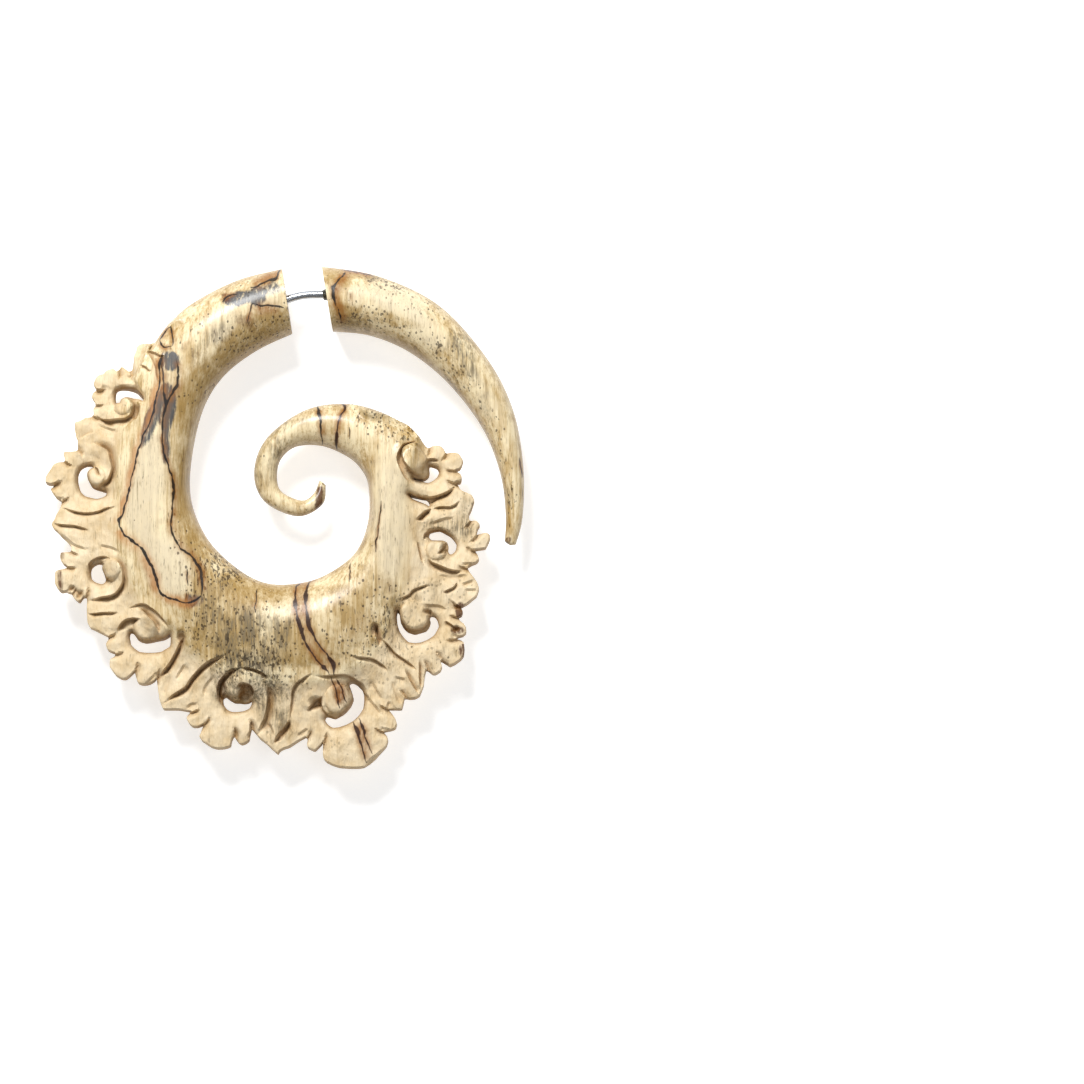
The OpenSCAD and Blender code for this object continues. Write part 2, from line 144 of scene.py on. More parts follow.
SCROLLS = (
    Scroll((-20.0, 13.6), 1.0, (
        -21.1, 14.2, -21.2, 14.8, -21.2, 15.2, -21.1, 15.8, -20.8, 16.0, -20.2, 16.1, -19.6, 16.1,
        -19.0, 16.0, -18.5, 15.8, -18.1, 15.4, -17.8, 15.1, -17.5, 14.6, -17.5, 14.2, -18.1, 14.5,
        -18.6, 14.6, -19.1, 14.8, -19.8, 15.0, -20.1, 14.9, -20.4, 14.6, -20.5, 14.1)),
    Scroll((-23.5, 4.9), 1.1, (
        -23.8, 6.1, -24.1, 6.4, -24.6, 6.4, -25.1, 6.2, -25.5, 5.9, -25.8, 5.2, -25.8, 4.4, -25.6, 3.6,
        -25.4, 3.1, -24.9, 2.6, -24.2, 2.4, -23.4, 2.2, -22.6, 2.4, -22.2, 2.6, -22.1, 3.1, -22.6, 3.2,
        -23.4, 3.4, -23.9, 3.6, -24.2, 4.0, -24.5, 4.6, -24.6, 5.2, -24.5, 5.8, -24.1, 6.0)),
    Scroll((-21.4, -6.8), 1.1, (
        -23.1, -5.9, -23.6, -6.1, -24.0, -6.5, -24.1, -7.1, -24.0, -7.8, -23.6, -8.2, -23.1, -8.4,
        -22.6, -8.5, -22.2, -8.2, -22.2, -7.8, -22.4, -7.2, -22.6, -6.8, -22.6, -6.0)),
    Scroll((-17.1, -14.2), 1.4, (
        -19.2, -15.1, -19.1, -14.6, -18.8, -14.6, -18.5, -14.9, -18.2, -15.4, -17.9, -15.6, -17.2, -15.9,
        -16.5, -15.8, -15.8, -15.6, -14.9, -15.4, -14.4, -15.1, -14.1, -14.8, -14.0, -15.1, -14.0, -15.8,
        -14.1, -16.4, -14.5, -16.6, -15.2, -17.0, -16.1, -17.1, -17.0, -17.1, -17.9, -17.0, -18.5, -16.6,
        -19.0, -16.1)),
    Scroll((-5.9, -21.5), 1.1, (
        -7.5, -22.9, -7.1, -22.6, -6.8, -22.9, -6.5, -23.1, -6.0, -23.4, -5.4, -23.4, -4.8, -23.5,
        -4.2, -23.4, -3.9, -23.1, -3.9, -23.6, -4.2, -24.1, -4.9, -24.4, -5.6, -24.5, -6.4, -24.5,
        -7.0, -24.2, -7.4, -23.6)),
    Scroll((7.0, -23.1), 1.6, (
        8.2, -21.0, 8.6, -20.8, 9.2, -21.1, 9.9, -21.8, 10.1, -22.5, 10.1, -23.2, 10.0, -24.1, 9.5, -24.9,
        8.8, -25.6, 7.9, -26.1, 7.0, -26.4, 6.2, -26.5, 5.6, -26.1, 5.2, -25.5, 5.4, -25.1, 5.9, -25.2,
        6.5, -25.4, 7.1, -25.1, 7.8, -24.5, 8.4, -23.8, 8.8, -22.9, 8.6, -22.1, 8.4, -21.6)),
    Scroll((16.4, -12.5), 1.6, (
        14.2, -11.8, 14.1, -12.4, 14.2, -13.5, 14.5, -14.5, 15.0, -15.2, 15.6, -15.8, 16.4, -15.9,
        17.2, -15.8, 18.1, -15.4, 18.8, -14.9, 19.1, -14.4, 19.4, -13.8, 19.2, -13.0, 18.9, -12.6,
        18.4, -12.5, 18.2, -12.9, 18.4, -13.2, 18.2, -13.9, 17.8, -14.4, 17.1, -14.6, 16.4, -14.8,
        15.5, -14.5, 15.0, -14.0, 14.6, -13.2, 14.5, -12.2)),
    Scroll((19.0, -4.4), 1.1, (
        18.2, -2.1, 18.8, -1.9, 19.5, -1.8, 20.1, -2.1, 20.8, -2.5, 21.2, -2.9, 21.6, -3.5, 21.5, -4.2,
        21.2, -4.6, 20.8, -4.8, 20.5, -4.4, 20.6, -3.8, 20.4, -3.2, 19.9, -3.0, 19.1, -3.0, 18.4, -3.0,
        18.1, -2.6)),
    Scroll((16.2, 7.0), 1.4, (
        18.2, 6.4, 18.8, 6.2, 19.2, 6.0, 19.4, 5.5, 19.1, 4.9, 18.6, 4.5, 18.0, 4.2, 17.2, 4.4, 16.2, 4.5,
        16.1, 4.8, 16.8, 4.6, 17.6, 4.6, 18.1, 5.0, 18.2, 5.6, 18.1, 6.1)),
)

SLIT = (15.5, 2.8, 16.2, 2.5, 17.1, 2.2, 17.9, 2.1, 18.2, 1.6, 18.2, 1.2, 17.8, 1.5, 16.9, 1.9, 16.0, 2.2)

RIM = (
    -16.4, 21.9, -16.9, 21.8, -17.6, 21.8, -18.1, 21.8, -18.5, 21.5, -18.6, 20.9, -18.9, 20.1, -18.9, 19.4,
    -19.0, 18.8, -19.1, 18.4, -19.5, 18.2, -20.0, 18.6, -20.4, 18.9, -20.8, 18.4, -21.0, 18.2, -21.4, 18.6,
    -22.0, 18.5, -22.5, 18.2, -22.6, 17.9, -23.0, 17.9, -23.5, 17.6, -23.8, 17.0, -23.9, 16.5, -23.5, 16.0,
    -24.0, 15.5, -24.1, 14.9, -23.8, 14.5, -23.6, 14.0, -23.9, 13.6, -23.9, 13.1, -23.8, 12.8, -24.2, 12.5,
    -24.9, 12.4, -25.5, 12.0, -26.2, 11.8, -26.2, 11.1, -26.1, 10.5, -26.0, 9.9, -25.8, 9.5, -25.8, 8.5,
    -25.9, 8.2, -26.8, 8.1, -27.5, 8.1, -27.6, 7.8, -27.4, 7.2, -27.4, 6.9, -28.2, 6.8, -28.8, 6.5,
    -29.1, 6.0, -29.5, 5.4, -29.8, 4.9, -29.8, 4.2, -29.2, 4.0, -28.8, 4.1, -28.8, 3.8, -29.2, 3.5,
    -29.1, 3.2, -28.8, 2.8, -28.5, 2.4, -28.1, 2.1, -27.8, 2.0, -27.8, 1.6, -27.9, 1.1, -28.0, 0.8,
    -28.4, 0.2, -28.6, -0.4, -28.9, -0.8, -29.0, -1.1, -28.8, -1.5, -28.2, -2.0, -27.8, -2.5, -27.2, -3.0,
    -26.8, -3.5, -26.5, -3.9, -26.5, -4.4, -27.0, -4.5, -27.8, -4.6, -27.9, -5.1, -27.8, -5.6, -27.5, -6.0,
    -26.9, -6.4, -27.4, -6.6, -28.2, -6.8, -28.5, -7.0, -28.5, -8.5, -28.2, -9.1, -27.8, -9.5, -27.1, -9.4,
    -26.8, -9.6, -26.5, -9.6, -26.2, -10.2, -25.9, -10.5, -25.5, -10.8, -25.2, -10.4, -25.0, -10.1,
    -24.6, -10.1, -24.5, -10.6, -24.5, -12.1, -24.4, -13.4, -24.1, -14.0, -23.6, -14.2, -23.0, -14.5,
    -22.4, -14.8, -21.8, -15.1, -21.8, -15.5, -22.0, -15.8, -22.1, -16.1, -21.9, -16.8, -21.5, -17.0,
    -20.9, -17.2, -21.0, -17.6, -21.5, -17.9, -21.6, -18.2, -21.6, -18.9, -21.2, -19.5, -20.8, -20.0,
    -20.1, -20.4, -19.6, -20.4, -19.2, -20.1, -18.9, -19.8, -18.5, -19.4, -18.4, -19.9, -18.2, -20.5,
    -18.1, -20.9, -17.6, -21.1, -17.1, -21.1, -16.6, -21.0, -16.0, -20.6, -15.8, -20.2, -15.6, -21.4,
    -15.5, -22.1, -15.4, -22.9, -15.1, -23.8, -14.9, -24.2, -13.0, -24.2, -11.8, -24.4, -11.4, -24.5,
    -11.8, -24.9, -12.0, -25.2, -11.9, -25.6, -11.6, -26.1, -11.2, -26.4, -10.6, -26.4, -10.1, -26.2,
    -9.8, -26.0, -10.1, -26.8, -10.2, -27.2, -10.4, -27.6, -10.1, -28.1, -9.5, -28.5, -8.9, -28.9,
    -8.2, -29.1, -7.6, -29.1, -7.0, -29.0, -6.5, -28.8, -6.4, -28.1, -6.1, -27.5, -5.8, -28.0, -5.5, -28.4,
    -5.1, -28.6, -4.6, -28.4, -4.2, -28.1, -4.1, -27.5, -3.9, -26.6, -3.4, -27.2, -2.8, -27.9, -2.0, -28.5,
    -1.4, -29.1, -0.6, -29.8, -0.4, -29.4, 0.1, -29.1, 0.8, -28.9, 1.4, -28.5, 2.0, -28.1, 2.9, -27.6,
    3.1, -28.0, 3.0, -28.6, 3.1, -29.0, 3.5, -29.2, 4.0, -29.4, 4.4, -29.0, 4.8, -28.6, 5.0, -28.2,
    5.0, -29.0, 5.0, -29.9, 5.1, -30.4, 5.5, -30.8, 6.1, -31.1, 7.0, -31.4, 8.2, -31.5, 9.5, -31.5,
    10.1, -31.4, 10.8, -31.0, 11.5, -30.4, 12.2, -29.6, 12.9, -28.8, 13.1, -28.1, 13.0, -27.6, 12.5, -27.0,
    13.0, -26.9, 13.5, -26.8, 14.0, -26.6, 14.2, -26.0, 14.0, -25.4, 13.6, -24.8, 13.1, -24.2, 13.9, -24.2,
    14.8, -24.2, 15.0, -23.4, 15.1, -22.8, 15.8, -22.9, 16.5, -22.8, 17.0, -22.5, 17.2, -22.0, 17.5, -21.2,
    17.6, -20.2, 17.8, -19.2, 18.1, -19.4, 18.6, -19.8, 19.0, -19.8, 19.6, -19.4, 19.8, -18.9, 19.6, -18.1,
    20.2, -18.5, 20.8, -18.8, 21.4, -18.5, 22.1, -18.0, 22.5, -17.5, 22.6, -16.6, 22.5, -15.8, 22.1, -15.5,
    21.5, -15.4, 21.9, -15.1, 22.4, -15.0, 22.8, -14.6, 22.8, -14.0, 22.5, -13.5, 22.0, -13.1, 21.8, -12.6,
    22.2, -12.5, 22.4, -12.0, 22.1, -11.4, 22.9, -11.0, 23.5, -10.5, 24.1, -10.0, 24.4, -9.1, 24.2, -8.4,
    23.8, -7.8, 23.2, -7.0, 22.9, -6.4, 23.6, -6.0, 24.1, -5.8, 24.4, -5.4, 24.2, -4.8, 23.8, -4.2,
    24.5, -4.1, 25.2, -4.0, 25.6, -3.2, 25.8, -2.6, 25.6, -2.2, 25.1, -2.1, 24.5, -2.2, 24.0, -2.4,
    24.2, -1.6, 24.5, -1.1, 24.1, -0.6, 23.8, -0.5, 23.2, -0.6, 23.1, 0.2, 23.4, 0.8, 23.6, 1.4, 23.8, 2.0,
    23.5, 2.6, 23.0, 2.9, 22.4, 3.1, 22.0, 3.4, 21.8, 3.9, 21.4, 4.2, 22.0, 4.2, 22.2, 4.6, 22.2, 5.1,
    22.0, 5.4, 21.4, 5.8, 22.0, 6.0, 22.2, 6.4, 22.4, 7.0, 22.1, 7.5, 21.8, 7.9, 21.2, 8.0, 20.6, 8.0,
    20.2, 7.9, 20.0, 8.4, 19.6, 8.8, 19.0, 8.9, 18.4, 8.8, 18.0, 8.5, 17.6, 8.9, 17.2, 9.5, 16.9, 10.0,
    16.2, 10.8, 15.5, 11.5, 14.6, 12.0)


@dataclass(frozen=True)
class Pit:
    """A small deep place where the knife went in."""

    centre: Point
    size: Point
    depth: float


PITS = (
    Pit((-4.8, -22.5), (0.9, 1.0), 1.2),
    Pit((4.1, -23.5), (0.9, 0.8), 1.0),
    Pit((18.0, -12.1), (0.6, 0.4), 0.8),
    Pit((20.0, -4.2), (0.5, 0.8), 0.6),
    Pit((21.5, -14.2), (0.6, 0.4), 0.7),
    Pit((-12.6, -15.5), (0.6, 0.9), 1.0),
    Pit((11.4, -14.6), (0.5, 0.9), 0.9),
    Pit((-18.5, 12.8), (0.5, 1.0), 0.5),
    Pit((18.5, 1.9), (0.5, 0.5), 0.5),
    Pit((-0.1, -27.0), (0.6, 0.8), 0.5),
    Pit((-26.4, -9.1), (0.5, 0.4), 0.4),
    Pit((-25.5, -9.8), (0.5, 0.6), 0.4),
)


class Side(Enum):
    """The side of a carved line, as it is travelled, on which its wall falls."""

    LEFT = 1
    RIGHT = -1


@dataclass(frozen=True)
class Profile:
    """The section of a carved line: a lip that fades behind it, a wall, and a foot that runs out."""

    rise: float
    back: float
    wall: float
    depth: float
    run: float


class Cut(Enum):
    """The kinds of carved line in the border."""

    VOLUTE = Profile(0.5, 1.4, 0.22, 0.75, 0.9)
    GROOVE = Profile(0.2, 0.8, 0.18, 0.55, 0.5)
    DEEP = Profile(0.25, 1.0, 0.28, 1.1, 0.65)
    WIDE = Profile(0.2, 0.8, 0.36, 0.8, 1.2)
    FACET = Profile(0.05, 0.8, 0.3, 0.3, 1.1)
    NOTCH = Profile(0.1, 0.5, 0.2, 0.55, 0.7)


@dataclass(frozen=True)
class Stroke:
    """One carved line of the border, in the order in which the knife goes."""

    cut: Cut
    points: FlatPoints
    side: Side = Side.RIGHT
    bites: bool = False


STROKES = (
    Stroke(Cut.VOLUTE, (
        -23.6, 13.0, -23.2, 12.5, -22.6, 12.2, -21.8, 12.1, -20.8, 12.1, -19.8, 12.1, -19.2, 12.5,
        -18.9, 13.2, -18.9, 13.9, -19.1, 14.4, -19.6, 14.8)),
    Stroke(Cut.GROOVE, (-18.9, 11.6, -18.2, 12.2, -17.9, 13.1, -17.9, 14.0), Side.LEFT),
    Stroke(Cut.FACET, (-23.6, 12.6, -22.8, 11.8, -22.0, 11.2, -21.0, 11.0), Side.LEFT),
    Stroke(Cut.GROOVE, (
        -17.0, 20.8, -16.9, 20.1, -16.6, 19.5, -16.1, 18.4, -15.9, 17.1, -15.5, 16.1), Side.LEFT, bites=True),
    Stroke(Cut.GROOVE, (-17.1, 20.8, -16.1, 20.4, -15.5, 20.0, -14.8, 19.9), bites=True),
    Stroke(Cut.GROOVE, (-18.0, 19.0, -17.2, 18.6, -16.8, 18.2, -16.4, 18.0)),
    Stroke(Cut.FACET, (-20.0, 18.0, -19.2, 17.6, -18.4, 16.8, -17.8, 15.6)),
    Stroke(Cut.FACET, (-23.5, 16.0, -23.0, 15.9, -22.9, 16.5)),
    Stroke(Cut.VOLUTE, (
        -23.9, 3.5, -23.4, 3.6, -22.8, 4.0, -22.1, 4.4, -21.8, 4.9, -21.5, 5.8, -21.6, 6.4, -21.8, 7.1,
        -22.0, 7.9, -22.6, 8.4, -23.4, 8.8, -24.2, 9.0)),
    Stroke(Cut.GROOVE, (-23.8, 6.1, -23.2, 5.9, -22.9, 5.2, -22.8, 4.8)),
    Stroke(Cut.FACET, (-22.4, 3.6, -21.6, 3.9, -21.1, 4.6, -20.9, 5.6, -21.0, 6.6), Side.LEFT),
    Stroke(Cut.GROOVE, (
        -27.8, 1.2, -27.0, 0.9, -26.0, 0.6, -25.0, 0.4, -24.0, 0.4, -23.0, 0.6, -22.2, 0.9, -21.4, 1.0,
        -20.6, 1.1)),
    Stroke(Cut.FACET, (-29.8, 4.2, -28.8, 4.2, -28.2, 4.6)),
    Stroke(Cut.FACET, (-28.6, 2.5, -27.8, 2.4, -27.4, 2.5)),
    Stroke(Cut.FACET, (-23.4, 11.8, -22.2, 11.2, -21.4, 10.9, -20.5, 10.8)),
    Stroke(Cut.FACET, (-25.5, 9.5, -24.5, 10.1, -23.6, 10.4), Side.LEFT),
    Stroke(Cut.GROOVE, (-28.9, -0.8, -28.0, -1.0, -27.0, -1.1, -26.0, -1.2, -25.0, -1.5, -24.1, -1.9)),
    Stroke(Cut.FACET, (-28.2, -1.9, -27.2, -2.5, -26.2, -3.4, -25.0, -3.9, -24.0, -4.1)),
    Stroke(Cut.GROOVE, (-24.2, -7.4, -24.4, -6.2, -24.0, -5.6, -23.2, -5.2, -22.4, -5.1, -21.5, -5.4)),
    Stroke(Cut.VOLUTE, (
        -24.5, -10.4, -23.6, -10.4, -22.8, -10.2, -22.0, -10.1, -21.2, -9.9, -20.6, -9.4, -20.1, -8.6,
        -20.0, -7.9, -20.1, -7.0, -20.5, -6.2, -21.2, -5.8, -22.0, -5.8)),
    Stroke(Cut.FACET, (-22.1, -7.6, -21.6, -7.8, -21.0, -8.2)),
    Stroke(Cut.GROOVE, (-24.5, -12.2, -23.5, -12.2, -22.5, -12.1, -21.5, -12.1, -20.4, -12.1)),
    Stroke(Cut.FACET, (-23.2, -3.5, -22.0, -3.8, -20.9, -4.2, -20.1, -4.9)),
    Stroke(Cut.FACET, (-27.2, -9.4, -26.6, -8.9, -26.0, -8.5)),
    Stroke(Cut.FACET, (-26.1, -10.4, -25.6, -9.6, -24.9, -9.1)),
    Stroke(Cut.VOLUTE, (-20.8, -14.6, -20.5, -13.9, -19.9, -13.2, -19.1, -12.9, -18.2, -12.9, -17.5, -13.1)),
    Stroke(Cut.VOLUTE, (
        -18.2, -12.0, -17.5, -12.2, -16.9, -12.8, -16.2, -13.5, -15.8, -14.2, -15.5, -15.0), Side.LEFT),
    Stroke(Cut.GROOVE, (
        -19.5, -11.8, -18.9, -11.5, -18.1, -11.2, -17.2, -11.2, -16.5, -11.6, -15.8, -12.1, -15.1, -12.8,
        -14.5, -13.5, -13.9, -14.5), bites=True),
    Stroke(Cut.DEEP, (
        -12.4, -15.0, -12.9, -16.1, -13.4, -17.1, -13.9, -18.0, -14.5, -18.9, -15.1, -19.6,
        -15.8, -20.4), Side.LEFT, bites=True),
    Stroke(Cut.FACET, (-17.4, -21.2, -16.8, -20.5, -16.1, -19.8, -15.8, -19.2)),
    Stroke(Cut.FACET, (-13.8, -19.9, -14.0, -20.9, -14.2, -21.8, -14.6, -22.8)),
    Stroke(Cut.FACET, (-12.2, -18.4, -13.0, -19.6, -13.5, -20.6), Side.LEFT),
    Stroke(Cut.DEEP, (
        -6.8, -17.2, -7.8, -17.8, -8.9, -18.2, -9.9, -18.8, -10.6, -19.4, -11.5, -20.4, -12.2, -21.4,
        -13.1, -22.0, -14.0, -22.6, -15.0, -23.5), Side.LEFT, bites=True),
    Stroke(Cut.FACET, (-12.2, -24.2, -11.6, -23.5, -10.6, -23.4)),
    Stroke(Cut.FACET, (-10.1, -22.9, -9.9, -21.6, -9.2, -20.6, -8.4, -19.9)),
    Stroke(Cut.DEEP, (
        -5.1, -19.2, -6.4, -19.4, -7.1, -19.9, -7.9, -20.8, -8.2, -21.9, -8.1, -22.9,
        -7.6, -23.9), Side.LEFT),
    Stroke(Cut.GROOVE, (
        -1.5, -20.9, -2.2, -20.0, -3.2, -19.5, -4.2, -19.2, -5.4, -19.2), Side.LEFT, bites=True),
    Stroke(Cut.WIDE, (-3.4, -27.5, -2.8, -26.2, -2.2, -24.8, -2.0, -23.2, -2.1, -21.9, -2.8, -20.9)),
    Stroke(Cut.VOLUTE, (
        -3.9, -23.1, -3.5, -22.2, -3.9, -21.4, -4.6, -21.1, -5.4, -21.2, -5.9, -21.9), Side.LEFT),
    Stroke(Cut.DEEP, (0.9, -25.4, 0.2, -26.4, -0.4, -27.0, -0.9, -27.8, -1.2, -28.6), Side.LEFT),
    Stroke(Cut.FACET, (-1.8, -25.6, -1.2, -26.6, -0.9, -27.6)),
    Stroke(Cut.FACET, (-6.4, -26.8, -6.4, -27.9), Side.LEFT),
    Stroke(Cut.GROOVE, (-4.1, -25.6, -4.2, -26.9, -4.4, -28.0), Side.LEFT),
    Stroke(Cut.GROOVE, (
        0.8, -25.6, 0.9, -24.4, 1.0, -23.2, 1.1, -22.1, 1.6, -21.2, 2.4, -20.6, 3.2, -20.1,
        4.0, -19.9), bites=True),
    Stroke(Cut.GROOVE, (
        3.9, -20.1, 5.1, -20.2, 6.4, -20.1, 7.6, -20.0, 8.5, -20.2, 9.2, -20.6, 10.0, -21.1,
        10.5, -21.9), bites=True),
    Stroke(Cut.VOLUTE, (2.9, -24.5, 3.4, -23.8, 4.0, -23.1, 5.0, -22.6)),
    Stroke(Cut.GROOVE, (4.9, -22.8, 4.9, -23.6, 5.2, -24.4, 5.9, -24.9, 6.6, -25.1)),
    Stroke(Cut.FACET, (1.6, -27.4, 2.4, -26.9, 3.1, -26.4)),
    Stroke(Cut.FACET, (11.9, -26.4, 12.8, -26.5, 13.9, -26.8)),
    Stroke(Cut.FACET, (10.0, -31.2, 11.0, -30.2, 11.8, -29.6, 12.4, -29.0)),
    Stroke(Cut.FACET, (12.8, -24.4, 12.9, -23.6, 13.2, -23.1)),
    Stroke(Cut.GROOVE, (
        8.2, -17.5, 9.2, -17.8, 10.2, -17.9, 11.2, -18.0, 12.0, -18.4, 12.8, -19.0, 13.2, -19.8), bites=True),
    Stroke(Cut.FACET, (13.2, -20.6, 13.6, -21.9, 14.1, -23.0, 14.6, -24.1), Side.LEFT),
    Stroke(Cut.FACET, (10.1, -21.6, 10.9, -22.9, 11.8, -24.0, 12.8, -25.2)),
    Stroke(Cut.FACET, (11.0, -20.4, 11.9, -21.9, 12.6, -23.1)),
    Stroke(Cut.GROOVE, (
        14.4, -11.1, 14.9, -10.4, 15.6, -10.0, 16.1, -9.4, 16.9, -9.0, 17.5, -8.8, 18.4, -8.6), bites=True),
    Stroke(Cut.GROOVE, (
        14.8, -13.0, 15.1, -13.8, 15.9, -14.2, 16.8, -14.2, 17.5, -13.9, 18.0, -13.2, 18.2, -12.5,
        17.9, -11.9)),
    Stroke(Cut.FACET, (16.9, -11.1, 18.2, -11.1, 19.5, -11.2, 20.6, -11.8)),
    Stroke(Cut.GROOVE, (19.8, -9.6, 20.6, -9.2, 21.2, -8.9, 21.6, -8.2)),
    Stroke(Cut.DEEP, (11.1, -13.6, 11.4, -14.6, 11.6, -15.5, 11.9, -16.6), Side.LEFT, bites=True),
    Stroke(Cut.GROOVE, (
        12.0, -15.4, 13.0, -16.1, 14.0, -17.2, 15.0, -17.9, 16.0, -18.6, 16.9, -19.5), bites=True),
    Stroke(Cut.GROOVE, (15.0, -19.2, 15.6, -20.4, 16.1, -21.4, 16.9, -22.5), Side.LEFT),
    Stroke(Cut.GROOVE, (16.9, -18.0, 16.9, -19.4, 16.9, -20.6, 17.1, -21.9), Side.LEFT),
    Stroke(Cut.FACET, (13.9, -20.1, 14.5, -20.2, 15.4, -20.4)),
    Stroke(Cut.FACET, (19.2, -17.4, 20.0, -18.0, 20.9, -18.6)),
    Stroke(Cut.GROOVE, (20.2, -13.1, 21.0, -13.6, 21.5, -14.0)),
    Stroke(Cut.FACET, (21.0, -14.6, 22.0, -15.0, 22.8, -14.8)),
    Stroke(Cut.FACET, (22.1, -8.5, 22.9, -8.2, 23.8, -7.9)),
    Stroke(Cut.FACET, (22.5, -9.1, 24.2, -9.1)),
    Stroke(Cut.FACET, (20.8, -10.4, 21.6, -11.0, 22.1, -11.5)),
    Stroke(Cut.GROOVE, (17.4, -3.4, 17.5, -2.4, 18.2, -1.8, 19.0, -1.6, 19.6, -1.6, 20.4, -2.1)),
    Stroke(Cut.GROOVE, (16.5, -3.2, 16.8, -4.5, 17.0, -5.4, 17.4, -6.2), Side.LEFT, bites=True),
    Stroke(Cut.VOLUTE, (18.0, -5.1, 18.5, -5.8, 19.2, -6.1, 20.2, -6.5, 21.2, -6.8, 22.4, -6.8)),
    Stroke(Cut.FACET, (19.0, -7.0, 20.2, -7.4, 21.8, -7.4, 23.1, -7.2)),
    Stroke(Cut.GROOVE, (20.2, -3.2, 19.8, -4.0, 19.1, -4.9), Side.LEFT),
    Stroke(Cut.DEEP, (16.4, -0.6, 17.1, 0.1, 17.6, 0.6, 18.4, 1.0), bites=True),
    Stroke(Cut.GROOVE, (18.5, 0.8, 19.1, 1.1, 19.8, 1.2, 20.8, 1.2, 21.5, 1.6, 22.0, 2.1)),
    Stroke(Cut.FACET, (18.0, -1.1, 19.0, -0.6, 20.2, -0.2, 21.5, -0.1)),
    Stroke(Cut.FACET, (23.2, -4.1, 24.2, -4.1, 25.4, -4.0)),
    Stroke(Cut.FACET, (22.0, -5.9, 23.0, -5.8, 24.1, -5.9)),
    Stroke(Cut.GROOVE, (
        17.0, 9.6, 15.9, 9.2, 15.0, 8.9, 14.4, 8.1, 14.1, 7.2, 14.2, 6.4, 14.6, 5.4, 15.1, 4.5, 15.9, 3.9,
        16.9, 3.5), Side.LEFT, bites=True),
    Stroke(Cut.VOLUTE, (
        17.1, 9.0, 16.0, 8.9, 15.1, 8.4, 14.9, 7.8, 15.0, 6.9, 15.5, 6.1, 16.1, 5.5, 16.9, 5.2, 17.8, 5.4)),
    Stroke(Cut.GROOVE, (17.5, 6.0, 17.8, 6.9, 18.2, 7.2, 19.0, 7.2, 19.5, 6.8)),
    Stroke(Cut.DEEP, (15.0, 3.0, 16.2, 2.6, 17.5, 2.4, 18.8, 2.5, 20.0, 2.9, 20.8, 3.4, 21.5, 4.0)),
    Stroke(Cut.FACET, (21.1, 4.2, 21.6, 4.5, 22.1, 4.4)),
)


def as_points(flat: FlatPoints) -> np.ndarray:
    """Reads x and y in turn as one point a row."""
    return np.reshape(flat, (-1, 2))


def smooth_points(flat: FlatPoints, pitch: float) -> np.ndarray:
    """Runs a smooth curve through a few points and walks along it in even steps.

    Args:
        flat: The points to go through, x and y in turn.
        pitch: The step along the curve.

    Returns:
        The points of the walk.
    """
    points = as_points(flat)
    padded = np.vstack([2 * points[0] - points[1], points, 2 * points[-1] - points[-2]])
    parts_between = 12
    share = np.linspace(0, 1, parts_between, endpoint=False)[:, None]
    parts = [through_rows(*padded[i:i + 4], share) for i in range(len(points) - 1)]
    return even_steps(np.vstack([*parts, points[-1:]]), pitch)


def through_rows(before: np.ndarray, start: np.ndarray, end: np.ndarray, after: np.ndarray,
                 share: np.ndarray) -> np.ndarray:
    """Blends four neighbouring rows with the curve that the CAD model uses.

    Args:
        before: The row before the stretch.
        start: The row at its start.
        end: The row at its end.
        after: The row after it.
        share: Where along the stretch, 0 to 1, as a column.

    Returns:
        One blended row for each share.
    """
    bend = 2 * before - 5 * start + 4 * end - after
    twist = 3 * start - before - 3 * end + after
    return 0.5 * (2 * start + (end - before) * share + bend * share ** 2 + twist * share ** 3)


def even_steps(points: np.ndarray, pitch: float, closed: bool = False) -> np.ndarray:
    """Walks along a polyline in even steps.

    Args:
        points: The polyline, one point a row.
        pitch: The longest step.
        closed: Whether the line comes back to its start, which is then given once.

    Returns:
        The points of the walk.
    """
    line = np.vstack([points, points[:1]]) if closed else points
    reach = np.concatenate([[0], np.cumsum(np.linalg.norm(np.diff(line, axis=0), axis=1))])
    count = max(2, math.ceil(reach[-1] / pitch))
    at = np.linspace(0, reach[-1], count + 1)
    if closed:
        at = at[:-1]
    return np.column_stack([np.interp(at, reach, line[:, k]) for k in range(line.shape[1])])


def rounded_loop(loop: np.ndarray, passes: int) -> np.ndarray:
    """Rounds the corners of a closed loop by averaging neighbours.

    Args:
        loop: The loop's points.
        passes: How often each point is averaged with its neighbours.

    Returns:
        The rounded loop, with as many points.
    """
    for _ in range(passes):
        loop = 0.5 * loop + 0.25 * (np.roll(loop, 1, axis=0) + np.roll(loop, -1, axis=0))
    return loop


def scattered(cells: np.ndarray, seed: int) -> np.ndarray:
    """Gives each whole cell a fixed number between -1 and 1."""
    by_x, by_y, by_seed, spread = 127.1, 311.7, 74.7, 43758.5453
    mixed = np.sin(cells[:, 0] * by_x + cells[:, 1] * by_y + seed * by_seed) * spread
    return 2 * (mixed - np.floor(mixed)) - 1


def ripple(points: np.ndarray, size: float, seed: int) -> np.ndarray:
    """Gives a smooth random wave over the plan.

    Args:
        points: Where to read it, in millimetres.
        size: The length of one wave.
        seed: Which wave.

    Returns:
        The wave's height, -1 to 1, for each point.
    """
    scaled = points / size
    base = np.floor(scaled)
    part = scaled - base
    part = part * part * (3 - 2 * part)
    corners = [scattered(base + step, seed) for step in ((0, 0), (1, 0), (0, 1), (1, 1))]
    low = corners[0] + (corners[1] - corners[0]) * part[:, 0]
    high = corners[2] + (corners[3] - corners[2]) * part[:, 0]
    return low + (high - low) * part[:, 1]


def eased(value: np.ndarray) -> np.ndarray:
    """Eases a share between 0 and 1 in and out."""
    kept = np.clip(value, 0, 1)
    return kept * kept * (3 - 2 * kept)


